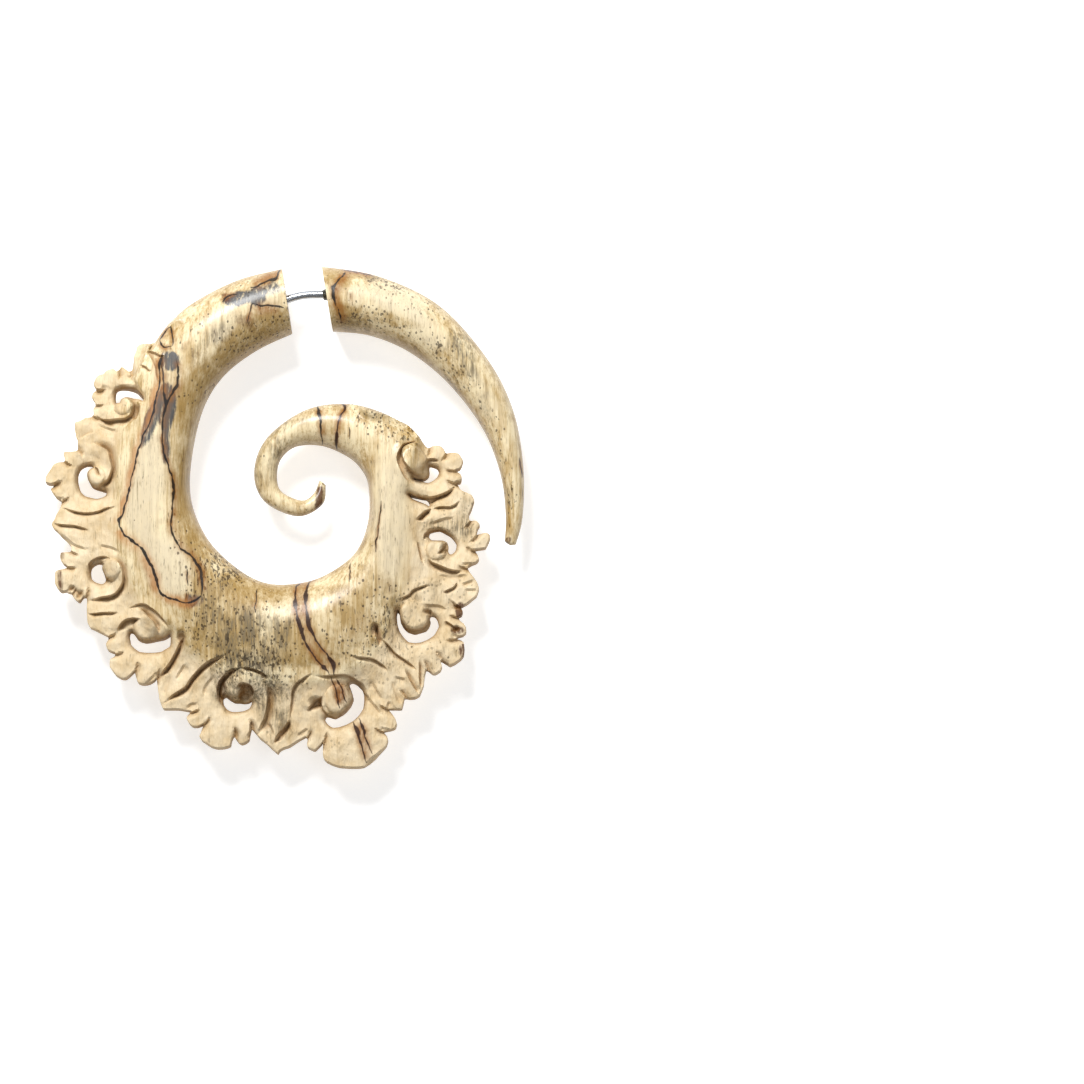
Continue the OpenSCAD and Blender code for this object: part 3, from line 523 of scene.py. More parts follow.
def soft_max(first: np.ndarray, second: np.ndarray, blend: float) -> np.ndarray:
    """Takes the higher of two heights and fillets the corner between them.

    Args:
        first: The one height.
        second: The other height.
        blend: The height over which they blend.

    Returns:
        The joined height.
    """
    part = np.clip(0.5 + 0.5 * (first - second) / blend, 0, 1)
    return second + (first - second) * part + blend * part * (1 - part)


def quarter_round(distance: np.ndarray, run: float) -> np.ndarray:
    """Rises as a quarter circle, from 0 at an edge to 1 where its run ends."""
    inward = 1 - np.clip(distance / run, 0, 1)
    return np.sqrt(1 - inward ** 2)


def left_of(along: np.ndarray) -> np.ndarray:
    """Turns directions into unit steps to their left."""
    unit = along / (np.linalg.norm(along, axis=1)[:, None] + TINY)
    return np.column_stack([-unit[:, 1], unit[:, 0]])


def nearest(points: np.ndarray, targets: np.ndarray) -> np.ndarray:
    """Measures how far each point is from the nearest of a set of targets.

    Args:
        points: The points to measure from.
        targets: The points to measure to.

    Returns:
        One distance for each point.
    """
    tree = KDTree(len(targets))
    for number, (x, y) in enumerate(targets):
        tree.insert((x, y, 0), number)
    tree.balance()
    return np.array([tree.find((x, y, 0))[2] for x, y in points])


def beside_line(points: np.ndarray, line: np.ndarray) -> tuple[np.ndarray, np.ndarray, float]:
    """Finds the nearest place on a line for each point.

    Args:
        points: The points to measure from.
        line: The points of the line.

    Returns:
        The distance, above 0 on the line's left, how far along the line the place is, and the line's length.
    """
    at = points[:, None, :]
    start, along = line[:-1][None], np.diff(line, axis=0)[None]
    share = np.clip(((at - start) * along).sum(2) / (along ** 2).sum(2), 0, 1)
    gap = at - (start + share[..., None] * along)
    far = np.linalg.norm(gap, axis=2)
    best = far.argmin(1)
    pick = np.arange(len(best))
    turn = along[0, best, 0] * gap[pick, best, 1] - along[0, best, 1] * gap[pick, best, 0]
    steps = np.linalg.norm(along[0], axis=1)
    reach = np.concatenate([[0], np.cumsum(steps)])
    walked = reach[best] + share[pick, best] * steps[best]
    return np.where(turn >= 0, 1, -1) * far[pick, best], walked, float(reach[-1])


def inside_rows(points: np.ndarray, loops: Sequence[np.ndarray]) -> np.ndarray:
    """Tells which points lie inside closed loops, by counting crossings row by row.

    Args:
        points: The points to test, of which many share their height.
        loops: The closed loops.

    Returns:
        True for each point inside an odd number of loops.
    """
    starts = np.vstack(loops)
    ends = np.vstack([np.roll(loop, -1, axis=0) for loop in loops])
    found = np.zeros(len(points), bool)
    levels, member = np.unique(points[:, 1], return_inverse=True)
    order = np.argsort(member, kind="stable")
    edges = np.searchsorted(member[order], np.arange(len(levels) + 1))
    for number, level in enumerate(levels):
        hit = (starts[:, 1] > level) != (ends[:, 1] > level)
        low, high = starts[hit], ends[hit]
        crossings = np.sort(low[:, 0] + (level - low[:, 1]) * (high[:, 0] - low[:, 0])
                            / (high[:, 1] - low[:, 1]))
        chosen = order[edges[number]:edges[number + 1]]
        found[chosen] = np.searchsorted(crossings, points[chosen, 0]) % 2 == 1
    return found


def kept_inside(points: np.ndarray, loops: Sequence[np.ndarray]) -> np.ndarray:
    """Keeps the points that lie inside an odd number of closed loops."""
    return points[inside_rows(points, loops)]


def thinned(groups: Sequence[tuple[np.ndarray, float]]) -> np.ndarray:
    """Merges groups of points, and drops each that stands too close to one that came before.

    Args:
        groups: Points and the room that each of them needs, the most important group first.

    Returns:
        The points that are kept, in order.
    """
    cell = max(room for _, room in groups)
    grid: dict[tuple[int, int], list[Point]] = {}
    kept: list[Point] = []
    for points, room in groups:
        for x, y in points.tolist():
            column, line = int(x // cell), int(y // cell)
            near = (other for i in (-1, 0, 1) for j in (-1, 0, 1)
                    for other in grid.get((column + i, line + j), ()))
            if room > 0 and any((x - px) ** 2 + (y - py) ** 2 < room * room for px, py in near):
                continue
            grid.setdefault((column, line), []).append((x, y))
            kept.append((x, y))
    return np.array(kept)


@dataclass
class Sweep:
    """A solid of round sections between an inner and an outer edge line, in millimetres."""

    rows: tuple[Row, ...]
    pitch: float
    full_half: float = MID_Z
    root_half: float = 2.5
    least_parts: int = 4
    least_thick: float = 0.02
    border_from: float = 0.05
    stations: np.ndarray = field(init=False)

    def __post_init__(self) -> None:
        """Fills in smooth sections between the rows."""
        table = np.array([[*row.inner, *row.outer, row.thick, row.edge] for row in self.rows])
        last = len(table) - 1
        parts = []
        for i in range(last):
            middles = 0.5 * (table[i:i + 2, INNER] + table[i:i + 2, OUTER])
            span = float(np.linalg.norm(middles[1] - middles[0]))
            share = np.linspace(0, 1, max(self.least_parts, round(span / self.pitch)), endpoint=False)
            around = [table[k] for k in (max(i - 1, 0), i, i + 1, min(i + 2, last))]
            parts.append(through_rows(*around, share[:, None]))
        self.stations = np.vstack([*parts, table[-1:]])

    def bordered(self) -> np.ndarray:
        """Tells which sections carry the border."""
        return self.stations[:, 5] > self.border_from

    def grid(self, angles: np.ndarray) -> np.ndarray:
        """Gives the upper half of every section.

        Args:
            angles: Angles round the section in radians, 0 at the inner edge and pi at the outer one.

        Returns:
            An array of sections by angles by x, y and half thickness.
        """
        inner, outer = self.stations[:, None, INNER], self.stations[:, None, OUTER]
        across = ((1 + np.cos(angles)) / 2)[None, :, None]
        plan = outer + (inner - outer) * across
        half = np.clip(self.stations[:, 4:5], self.least_thick, 1) * self.full_half
        edge = np.minimum(np.clip(self.stations[:, 5:6], 0, None) * self.root_half, half)
        edge = np.where(angles[None, :] > math.pi / 2 + TINY, edge, 0)
        height = edge + (half - edge) * np.sin(angles)[None, :]
        ends = np.sin(angles) < SMALL
        height[:, ends] = edge[:, ends]
        return np.concatenate([plan, height[:, :, None]], axis=2)


def new_object(name: str, verts: np.ndarray, faces: Sequence[Sequence[int]]) -> bpy.types.Object:
    """Makes a mesh object from millimetres.

    Args:
        name: Its name.
        verts: Its vertices in millimetres.
        faces: Its faces, as vertex numbers.

    Returns:
        The object, which is in the scene.
    """
    mesh = bpy.data.meshes.new(name)
    mesh.from_pydata((np.asarray(verts) * MM).tolist(), [], [list(map(int, face)) for face in faces])
    mesh.update()
    obj = bpy.data.objects.new(name, mesh)
    bpy.context.scene.collection.objects.link(obj)
    return obj


def store(obj: bpy.types.Object, name: str, values: np.ndarray) -> None:
    """Keeps one number for each vertex on a mesh."""
    layer = obj.data.attributes.new(name, "FLOAT", "POINT")
    layer.data.foreach_set("value", np.ascontiguousarray(values, np.float32))


def finish_mesh(obj: bpy.types.Object, sharp_deg: float) -> None:
    """Merges doubles, turns faces outwards and marks the edges that stay sharp.

    Args:
        obj: The mesh object.
        sharp_deg: The angle between two faces past which their edge is sharp.
    """
    merge_mm, degenerate = 0.0005, 1e-8
    mesh = bmesh.new()
    mesh.from_mesh(obj.data)
    bmesh.ops.remove_doubles(mesh, verts=mesh.verts, dist=merge_mm * MM)
    bmesh.ops.dissolve_degenerate(mesh, edges=mesh.edges, dist=degenerate)
    bmesh.ops.recalc_face_normals(mesh, faces=mesh.faces)
    limit = math.radians(sharp_deg)
    for face in mesh.faces:
        face.smooth = True
    for edge in mesh.edges:
        edge.smooth = len(edge.link_faces) == 2 and edge.calc_face_angle(0) < limit
    mesh.to_mesh(obj.data)
    mesh.free()
    obj.data.update()


def bake(obj: bpy.types.Object) -> None:
    """Turns the result of an object's modifiers into its plain mesh."""
    graph = bpy.context.evaluated_depsgraph_get()
    mesh = bpy.data.meshes.new_from_object(obj.evaluated_get(graph))
    obj.modifiers.clear()
    obj.data = mesh


def cut_by(obj: bpy.types.Object, cutter: bpy.types.Object) -> None:
    """Takes one closed mesh out of another and removes the cutter.

    Args:
        obj: The object that is cut.
        cutter: The object that is taken out of it.
    """
    cut = obj.modifiers.new("cut", "BOOLEAN")
    cut.operation = "DIFFERENCE"
    cut.solver = "MANIFOLD"
    cut.object = cutter
    bake(obj)
    bpy.data.objects.remove(cutter)


def drill(name: str, start: Sequence[float], angle_deg: float, length: float) -> bpy.types.Object:
    """Makes a round cutter that lies level, as thick as the bores for the post.

    Args:
        name: Its name.
        start: The middle of its first end, in millimetres.
        angle_deg: Its direction in the plan.
        length: Its length.

    Returns:
        The cutter.
    """
    sides, sharp_deg = 48, 40
    around = np.linspace(0, 2 * math.pi, sides, endpoint=False)
    along = np.array([math.cos(math.radians(angle_deg)), math.sin(math.radians(angle_deg)), 0])
    side = np.array([-along[1], along[0], 0])
    ring = BORE_R * (np.cos(around)[:, None] * side + np.sin(around)[:, None] * np.array([0, 0, 1]))
    verts = np.vstack([np.array(start) + ring, np.array(start) + length * along + ring])
    walls = [(k, (k + 1) % sides, sides + (k + 1) % sides, sides + k) for k in range(sides)]
    obj = new_object(name, verts, [list(range(sides))[::-1], list(range(sides, 2 * sides)), *walls])
    finish_mesh(obj, sharp_deg)
    return obj


def report(obj: bpy.types.Object) -> None:
    """Logs how large a mesh is and whether it is closed."""
    mesh = bmesh.new()
    mesh.from_mesh(obj.data)
    loose = sum(1 for edge in mesh.edges if len(edge.link_faces) != 2)
    LOG.info("%s: %d vertices, %d triangles, %d open edges, %.1f mm3", obj.name, len(mesh.verts),
             sum(len(face.verts) - 2 for face in mesh.faces), loose, mesh.calc_volume() / MM ** 3)
    mesh.free()


@dataclass(frozen=True)
class Field:
    """A socket that can be used in sums and products."""

    tree: "Tree"
    socket: Any

    def __add__(self, other: Any) -> "Field":
        """Adds."""
        return self.tree.math("ADD", self, other)

    def __radd__(self, other: Any) -> "Field":
        """Adds this to a number."""
        return self.tree.math("ADD", other, self)

    def __sub__(self, other: Any) -> "Field":
        """Takes away."""
        return self.tree.math("SUBTRACT", self, other)

    def __rsub__(self, other: Any) -> "Field":
        """Takes this away from a number."""
        return self.tree.math("SUBTRACT", other, self)

    def __mul__(self, other: Any) -> "Field":
        """Multiplies."""
        return self.tree.math("MULTIPLY", self, other)

    def __rmul__(self, other: Any) -> "Field":
        """Multiplies a number by this."""
        return self.tree.math("MULTIPLY", other, self)

    def clamped(self) -> "Field":
        """Keeps the value between 0 and 1."""
        return self.tree.math("MAXIMUM", self.tree.math("MINIMUM", self, 1.0), 0.0)

    def swing(self, strength: float) -> "Field":
        """Turns a noise about a half into one about 0, with a strength."""
        return (self - 0.5) * strength

    def step(self, start: float, end: float) -> "Field":
        """Goes smoothly from 0 at start to 1 at end.

        Args:
            start: The value that gives 0.
            end: The value that gives 1.

        Returns:
            The smooth step.
        """
        low, high, first, last = (start, end, 0.0, 1.0) if start < end else (end, start, 1.0, 0.0)
        ends = {"From Min": low, "From Max": high, "To Min": first, "To Max": last}
        return self.tree.node("ShaderNodeMapRange", {"interpolation_type": "SMOOTHSTEP"},
                              {"Value": self, **ends})


class Tree:
    """A node tree that is written as expressions."""

    def __init__(self, tree: bpy.types.NodeTree) -> None:
        """Wraps a node tree."""
        self.tree = tree

    def node(self, kind: str, settings: dict[str, Any], values: dict[Any, Any], out: Any = 0) -> Field:
        """Adds any node.

        Args:
            kind: The node's type.
            settings: What is set on the node first.
            values: A value or a link for each input, by name or number.
            out: The output that is wanted, by name or number.

        Returns:
            The output.
        """
        made = self.tree.nodes.new(kind)
        for name, value in settings.items():
            setattr(made, name, value)
        for key, value in values.items():
            if isinstance(value, Field):
                self.tree.links.new(value.socket, made.inputs[key])
            else:
                made.inputs[key].default_value = value
        return Field(self, made.outputs[out])

    def math(self, operation: str, *values: Any) -> Field:
        """Adds a Math node."""
        return self.node("ShaderNodeMath", {"operation": operation}, dict(enumerate(values)))


class Surface(Tree):
    """A material whose nodes are written as expressions."""

    def __init__(self, name: str, constants: dict[str, Any]) -> None:
        """Makes a material.

        Args:
            name: Its name.
            constants: Values of the shader's own inputs.
        """
        self.material = bpy.data.materials.new(name)
        self.material.use_nodes = True
        super().__init__(self.material.node_tree)
        self.shader = self.tree.nodes["Principled BSDF"]
        for key, value in constants.items():
            self.shader.inputs[key].default_value = value
        where = self.node("ShaderNodeTexCoord", {}, {}, "Object")
        self.place = self.scaled(where, (1 / MM, 1 / MM, 1 / MM))

    def scaled(self, vector: Field, scale: Sequence[float]) -> Field:
        """Multiplies a vector axis by axis."""
        return self.node("ShaderNodeVectorMath", {"operation": "MULTIPLY"}, {0: vector, 1: scale})

    def mix(self, factor: Any, first: Any, second: Any) -> Field:
        """Mixes two colours.

        Args:
            factor: How much of the second colour.
            first: The first colour.
            second: The second colour.

        Returns:
            The mixed colour.
        """
        return self.node("ShaderNodeMix", {"data_type": "RGBA", "clamp_factor": True},
                         {0: factor, 6: first, 7: second}, 2)

    def noise(self, scale: Sequence[float], detail: float, rough: float = 0.5) -> Field:
        """Adds a Noise Texture over the piece.

        Args:
            scale: How many waves to a millimetre, along each axis.
            detail: How many finer layers it has.
            rough: How strong the finer layers are.

        Returns:
            The noise, about 0.5 in the middle.
        """
        at = self.scaled(self.place, scale)
        values = {"Vector": at, "Scale": 1.0, "Detail": detail, "Roughness": rough}
        return self.node("ShaderNodeTexNoise", {}, values)

    def cells(self, scale: Sequence[float], out: str) -> Field:
        """Adds a Voronoi Texture over the piece.

        Args:
            scale: How many cells to a millimetre, along each axis.
            out: The output that is wanted.

        Returns:
            The output.
        """
        at = self.scaled(self.place, scale)
        return self.node("ShaderNodeTexVoronoi", {}, {"Vector": at, "Scale": 1.0}, out)

    def attribute(self, name: str) -> Field:
        """Reads a number that is kept on the mesh."""
        return self.node("ShaderNodeAttribute", {"attribute_name": name}, {}, "Fac")

    def feed(self, name: str, value: Field) -> None:
        """Links a value to an input of the shader."""
        self.tree.links.new(value.socket, self.shader.inputs[name])

    def bump(self, height_mm: Field) -> None:
        """Raises the surface by a height in millimetres."""
        values = {"Distance": MM, "Height": height_mm, "Strength": 1.0}
        self.feed("Normal", self.node("ShaderNodeBump", {}, values))


def srgb(code: str) -> Colour:
    """Turns a colour code into the linear colour that a shader takes.

    Args:
        code: Six hexadecimal digits.

    Returns:
        Red, green, blue and 1.
    """
    parts = [int(code[k:k + 2], 16) / 255 for k in (0, 2, 4)]
    linear = [part / 12.92 if part <= 0.04045 else ((part + 0.055) / 1.055) ** 2.4 for part in parts]
    return (linear[0], linear[1], linear[2], 1.0)


class Stain(Enum):
    """The kinds of stain line: the colour of the thread, the colour beside it and its strength."""

    BLACK = ("080503", "8f5c22", 0.8)
    BLUE = ("0a0f16", "b3763a", 0.7)
    BROWN = ("2a1005", "8d571f", 0.8)


@dataclass(frozen=True)
class StainLine:
    """A spalting line: a dark thread in the wood with a coloured halo, shifted to its left or right."""

    stain: Stain
    points: FlatPoints
    width: float
    halo: float
    shift: float

    def course(self) -> np.ndarray:
        """Gives the line's ragged course, from close points."""
        pitch, reach, wave, fine_wave, fine_share = 0.13, 0.1, 0.9, 0.4, 0.6
        line = smooth_points(self.points, pitch)
        sway = [ripple(line, wave, seed) + fine_share * ripple(line, fine_wave, seed + 1)
                for seed in (21, 23)]
        return line + reach * np.column_stack(sway)


class Tint(Enum):
    """The kinds of soft patch in the wood."""

    PALE = "dccdae"
    TAN = "a5864d"
    GREY = "6c6554"
    BLUE = "2c3742"
    BROWN = "4e260c"
    SPECKLE = "2e2416"


@dataclass(frozen=True)
class Patch:
    """A soft patch of colour in the wood."""

    tint: Tint
    x: float
    y: float
    across: float
    along: float
    strength: float
    turn_deg: float = 0.0

    def share(self, points: np.ndarray) -> np.ndarray:
        """Gives how strong the patch is at each point of the plan."""
        fade_from = 1.5
        turn = math.radians(self.turn_deg)
        gap = points - np.array((self.x, self.y))
        turned = gap @ np.array([[math.cos(turn), -math.sin(turn)], [math.sin(turn), math.cos(turn)]])
        reach = np.linalg.norm(turned / np.array((self.across, self.along)), axis=1)
        return self.strength * eased(fade_from - reach)


PatchTable = dict[Tint, tuple[tuple[float, ...], ...]]


@dataclass(frozen=True)
class Markings:
    """All stain lines and patches of a piece of wood, kept on its mesh as attributes."""

    lines: tuple[StainLine, ...]
    patches: tuple[Patch, ...]
    reach: float = 2.0
    end_run: float = 1.2
    least_swell: float = 0.4
    most_swell: float = 2.0

    def paint(self, obj: bpy.types.Object) -> None:
        """Works out the markings for each vertex of a mesh.

        Args:
            obj: The mesh object.
        """
        flat = np.empty(len(obj.data.vertices) * 3, np.float32)
        obj.data.vertices.foreach_get("co", flat)
        points = flat.reshape(-1, 3)[:, :2].astype(float) / MM
        obj.data.vertex_normals.foreach_get("vector", flat)
        # How steep the surface is, which drives the painted shade on the flanks and on carved walls.
        store(obj, "flank_shade", 1 - np.abs(flat[2::3]))
        for tint in Tint:
            shares = (patch.share(points) for patch in self.patches if patch.tint is tint)
            store(obj, tint.name.lower(), sum(shares, np.zeros(len(points))))
        for stain in Stain:
            gap, glow = self.stain_fields(points, stain)
            store(obj, f"{stain.name.lower()}_gap", gap)
            store(obj, f"{stain.name.lower()}_glow", glow)

    def stain_fields(self, points: np.ndarray, stain: Stain) -> tuple[np.ndarray, np.ndarray]:
        """Works out how far each point is from the edge of a dark thread, and the glow beside it.

        Args:
            points: Where, in the plan.
            stain: The kind of line.

        Returns:
            The distance in millimetres, below 0 inside a thread, and the glow from 0 to 1.
        """
        gap, glow = np.full(len(points), self.reach), np.zeros(len(points))
        for line in self.lines:
            if line.stain is not stain:
                continue
            course = line.course()
            low, high = course.min(0) - self.reach, course.max(0) + self.reach
            near = np.all((points > low) & (points < high), axis=1)
            if not near.any():
                continue
            signed, walked, length = beside_line(points[near], course)
            inside = eased(np.minimum(walked, length - walked) / min(self.end_run, length / 3) + 0.1)
            place = np.column_stack([walked, np.full(len(walked), length)])
            swell = 1 + ripple(place, 1.3, 5) + 0.6 * ripple(place, 0.4, 6)
            swell = np.clip(swell, self.least_swell, self.most_swell)
            gap[near] = np.minimum(gap[near], np.abs(signed) - line.width * swell * inside)
            beside = eased(1 - np.abs(signed - line.shift) / (2 * line.halo)) * inside
            glow[near] = np.maximum(glow[near], beside)
        return gap, glow


def patches_of(table: PatchTable) -> tuple[Patch, ...]:
    """Makes the patches of a table, tint by tint."""
    return tuple(Patch(tint, *row) for tint, rows in table.items() for row in rows)


SPIRAL_LINES = (
    StainLine(Stain.BLUE, (
        -15.1, 20.2, -15.4, 19.0, -15.5, 17.6, -15.5, 15.9, -15.9, 14.4, -16.1, 13.1, -16.5, 11.9,
        -17.0, 10.6, -17.6, 9.2, -18.0, 7.8, -18.5, 6.1, -18.9, 4.4, -19.2, 3.1, -19.5, 1.5, -19.8, 0.2,
        -20.4, -0.8, -20.4, -1.6), 0.09, 0.41, -0.24),
    StainLine(Stain.BLUE, (
        -20.5, -1.4, -19.9, -2.4, -19.1, -3.0, -18.1, -4.0, -17.2, -5.0, -16.8, -5.8, -16.2, -6.9,
        -15.8, -8.1, -15.4, -9.4, -14.9, -10.4), 0.11, 0.6, -0.2),
    StainLine(Stain.BLUE, (
        -15.4, -9.4, -14.8, -10.2, -13.9, -10.8, -13.0, -11.0, -12.0, -11.2, -11.2, -11.2, -10.5, -10.9,
        -10.0, -10.5), 0.1, 0.5, -0.1),
    StainLine(Stain.BLACK, (
        -13.4, 19.4, -13.2, 18.1, -13.2, 16.5, -13.6, 15.4, -14.2, 14.4, -14.5, 13.6, -14.8, 12.8,
        -15.0, 11.6, -15.0, 10.1, -14.9, 8.1, -14.5, 6.4, -13.9, 4.6, -13.6, 2.5, -13.8, 0.2, -13.9, -1.6,
        -13.5, -3.1, -12.6, -4.4, -11.2, -5.6, -10.2, -7.0, -9.9, -8.9, -9.9, -10.4), 0.08, 0.36, 0.07),
    StainLine(Stain.BLACK, (-15.1, 19.6, -15.1, 18.1, -15.0, 16.6, -14.9, 14.9, -14.8, 13.4), 0.09, 0.4, 0.0),
    StainLine(Stain.BLACK, (-14.2, 23.6, -13.9, 22.6, -13.8, 21.5, -14.0, 20.9), 0.07, 0.3, 0),
    StainLine(Stain.BLACK, (-15.6, 22.0, -15.2, 22.6, -14.8, 23.2, -14.2, 23.6), 0.07, 0.36, 0.07),
    StainLine(Stain.BLACK, (-15.6, 21.9, -15.2, 21.2, -14.8, 20.9, -13.9, 20.9), 0.07, 0.3, -0.07),
    StainLine(Stain.BLACK, (-0.5, 31.4, -0.8, 30.6, -0.9, 29.9, -1.5, 29.1), 0.07, 0.36, -0.17),
    StainLine(Stain.BLACK, (-4.2, 28.5, -3.5, 28.6, -2.8, 29.0, -2.0, 29.4, -0.9, 29.9), 0.2, 0.7, 0.35),
    StainLine(Stain.BLACK, (-3.8, 26.4, -2.9, 26.1, -1.9, 26.2, -1.0, 26.1, -0.1, 25.9), 0.2, 0.6, -0.35),
    StainLine(Stain.BLACK, (-4.0, 26.5, -4.2, 25.4, -4.5, 24.0), 0.05, 0.24, 0),
    StainLine(Stain.BLACK, (-7.6, 26.6, -7.2, 27.2, -6.5, 27.6, -5.8, 27.6), 0.07, 0.3, 0.07),
    StainLine(Stain.BROWN, (
        1.6, -8.6, 1.5, -10.1, 1.6, -11.6, 1.9, -13.1, 2.4, -14.6, 3.0, -16.4, 4.0, -18.1, 4.8, -18.9,
        5.9, -20.1), 0.13, 0.42, 0.1),
    StainLine(Stain.BROWN, (
        3.5, -7.9, 3.0, -9.1, 2.8, -11.0, 3.0, -12.6, 3.4, -14.4, 4.2, -16.1, 5.5, -17.6, 6.2, -18.6,
        6.5, -20.1), 0.15, 0.42, -0.1),
    StainLine(Stain.BROWN, (1.5, -8.9, 2.4, -8.2, 3.5, -7.9, 4.2, -7.6), 0.1, 0.5, 0),
    StainLine(Stain.BROWN, (6.1, -20.4, 6.4, -21.4, 6.8, -22.6, 7.1, -24.1), 0.12, 0.45, 0.1),
    StainLine(Stain.BROWN, (6.8, -20.6, 7.4, -21.8, 7.6, -22.8, 7.9, -23.5), 0.12, 0.45, -0.1),
    StainLine(Stain.BROWN, (8.8, -25.8, 9.2, -26.9, 9.6, -28.1, 10.0, -29.4, 10.4, -30.9), 0.12, 0.5, 0.15),
    StainLine(Stain.BROWN, (9.5, -25.4, 10.1, -26.9, 10.5, -28.4, 11.2, -29.8), 0.09, 0.5, -0.1),
    StainLine(Stain.BLACK, (4.2, 14.1, 4.4, 13.1, 4.6, 12.0, 4.6, 10.9, 4.8, 9.1), 0.1, 0.4, 0.1),
    StainLine(Stain.BROWN, (7.0, 14.4, 7.6, 13.6, 7.2, 12.5, 6.8, 11.4, 6.6, 10.1, 6.6, 8.4), 0.1, 0.32, 0),
    StainLine(Stain.BLACK, (12.2, 1.6, 12.0, -0.4, 11.8, -2.4, 11.5, -4.9), 0.04, 0.12, 0),
    StainLine(Stain.BLACK, (8.5, -6.0, 8.2, -8.6), 0.03, 0.12, 0),
    StainLine(Stain.BLACK, (8.2, 10.8, 8.2, 9.5), 0.04, 0.12, 0),
    StainLine(Stain.BLACK, (-3.2, -9.4, -3.4, -12.4), 0.04, 0.12, 0),
    StainLine(Stain.BLACK, (-11.8, -7.1, -11.8, -9.1), 0.03, 0.12, 0),
    StainLine(Stain.BLACK, (-11.9, -9.9, -11.9, -11.1), 0.03, 0.12, 0),
)

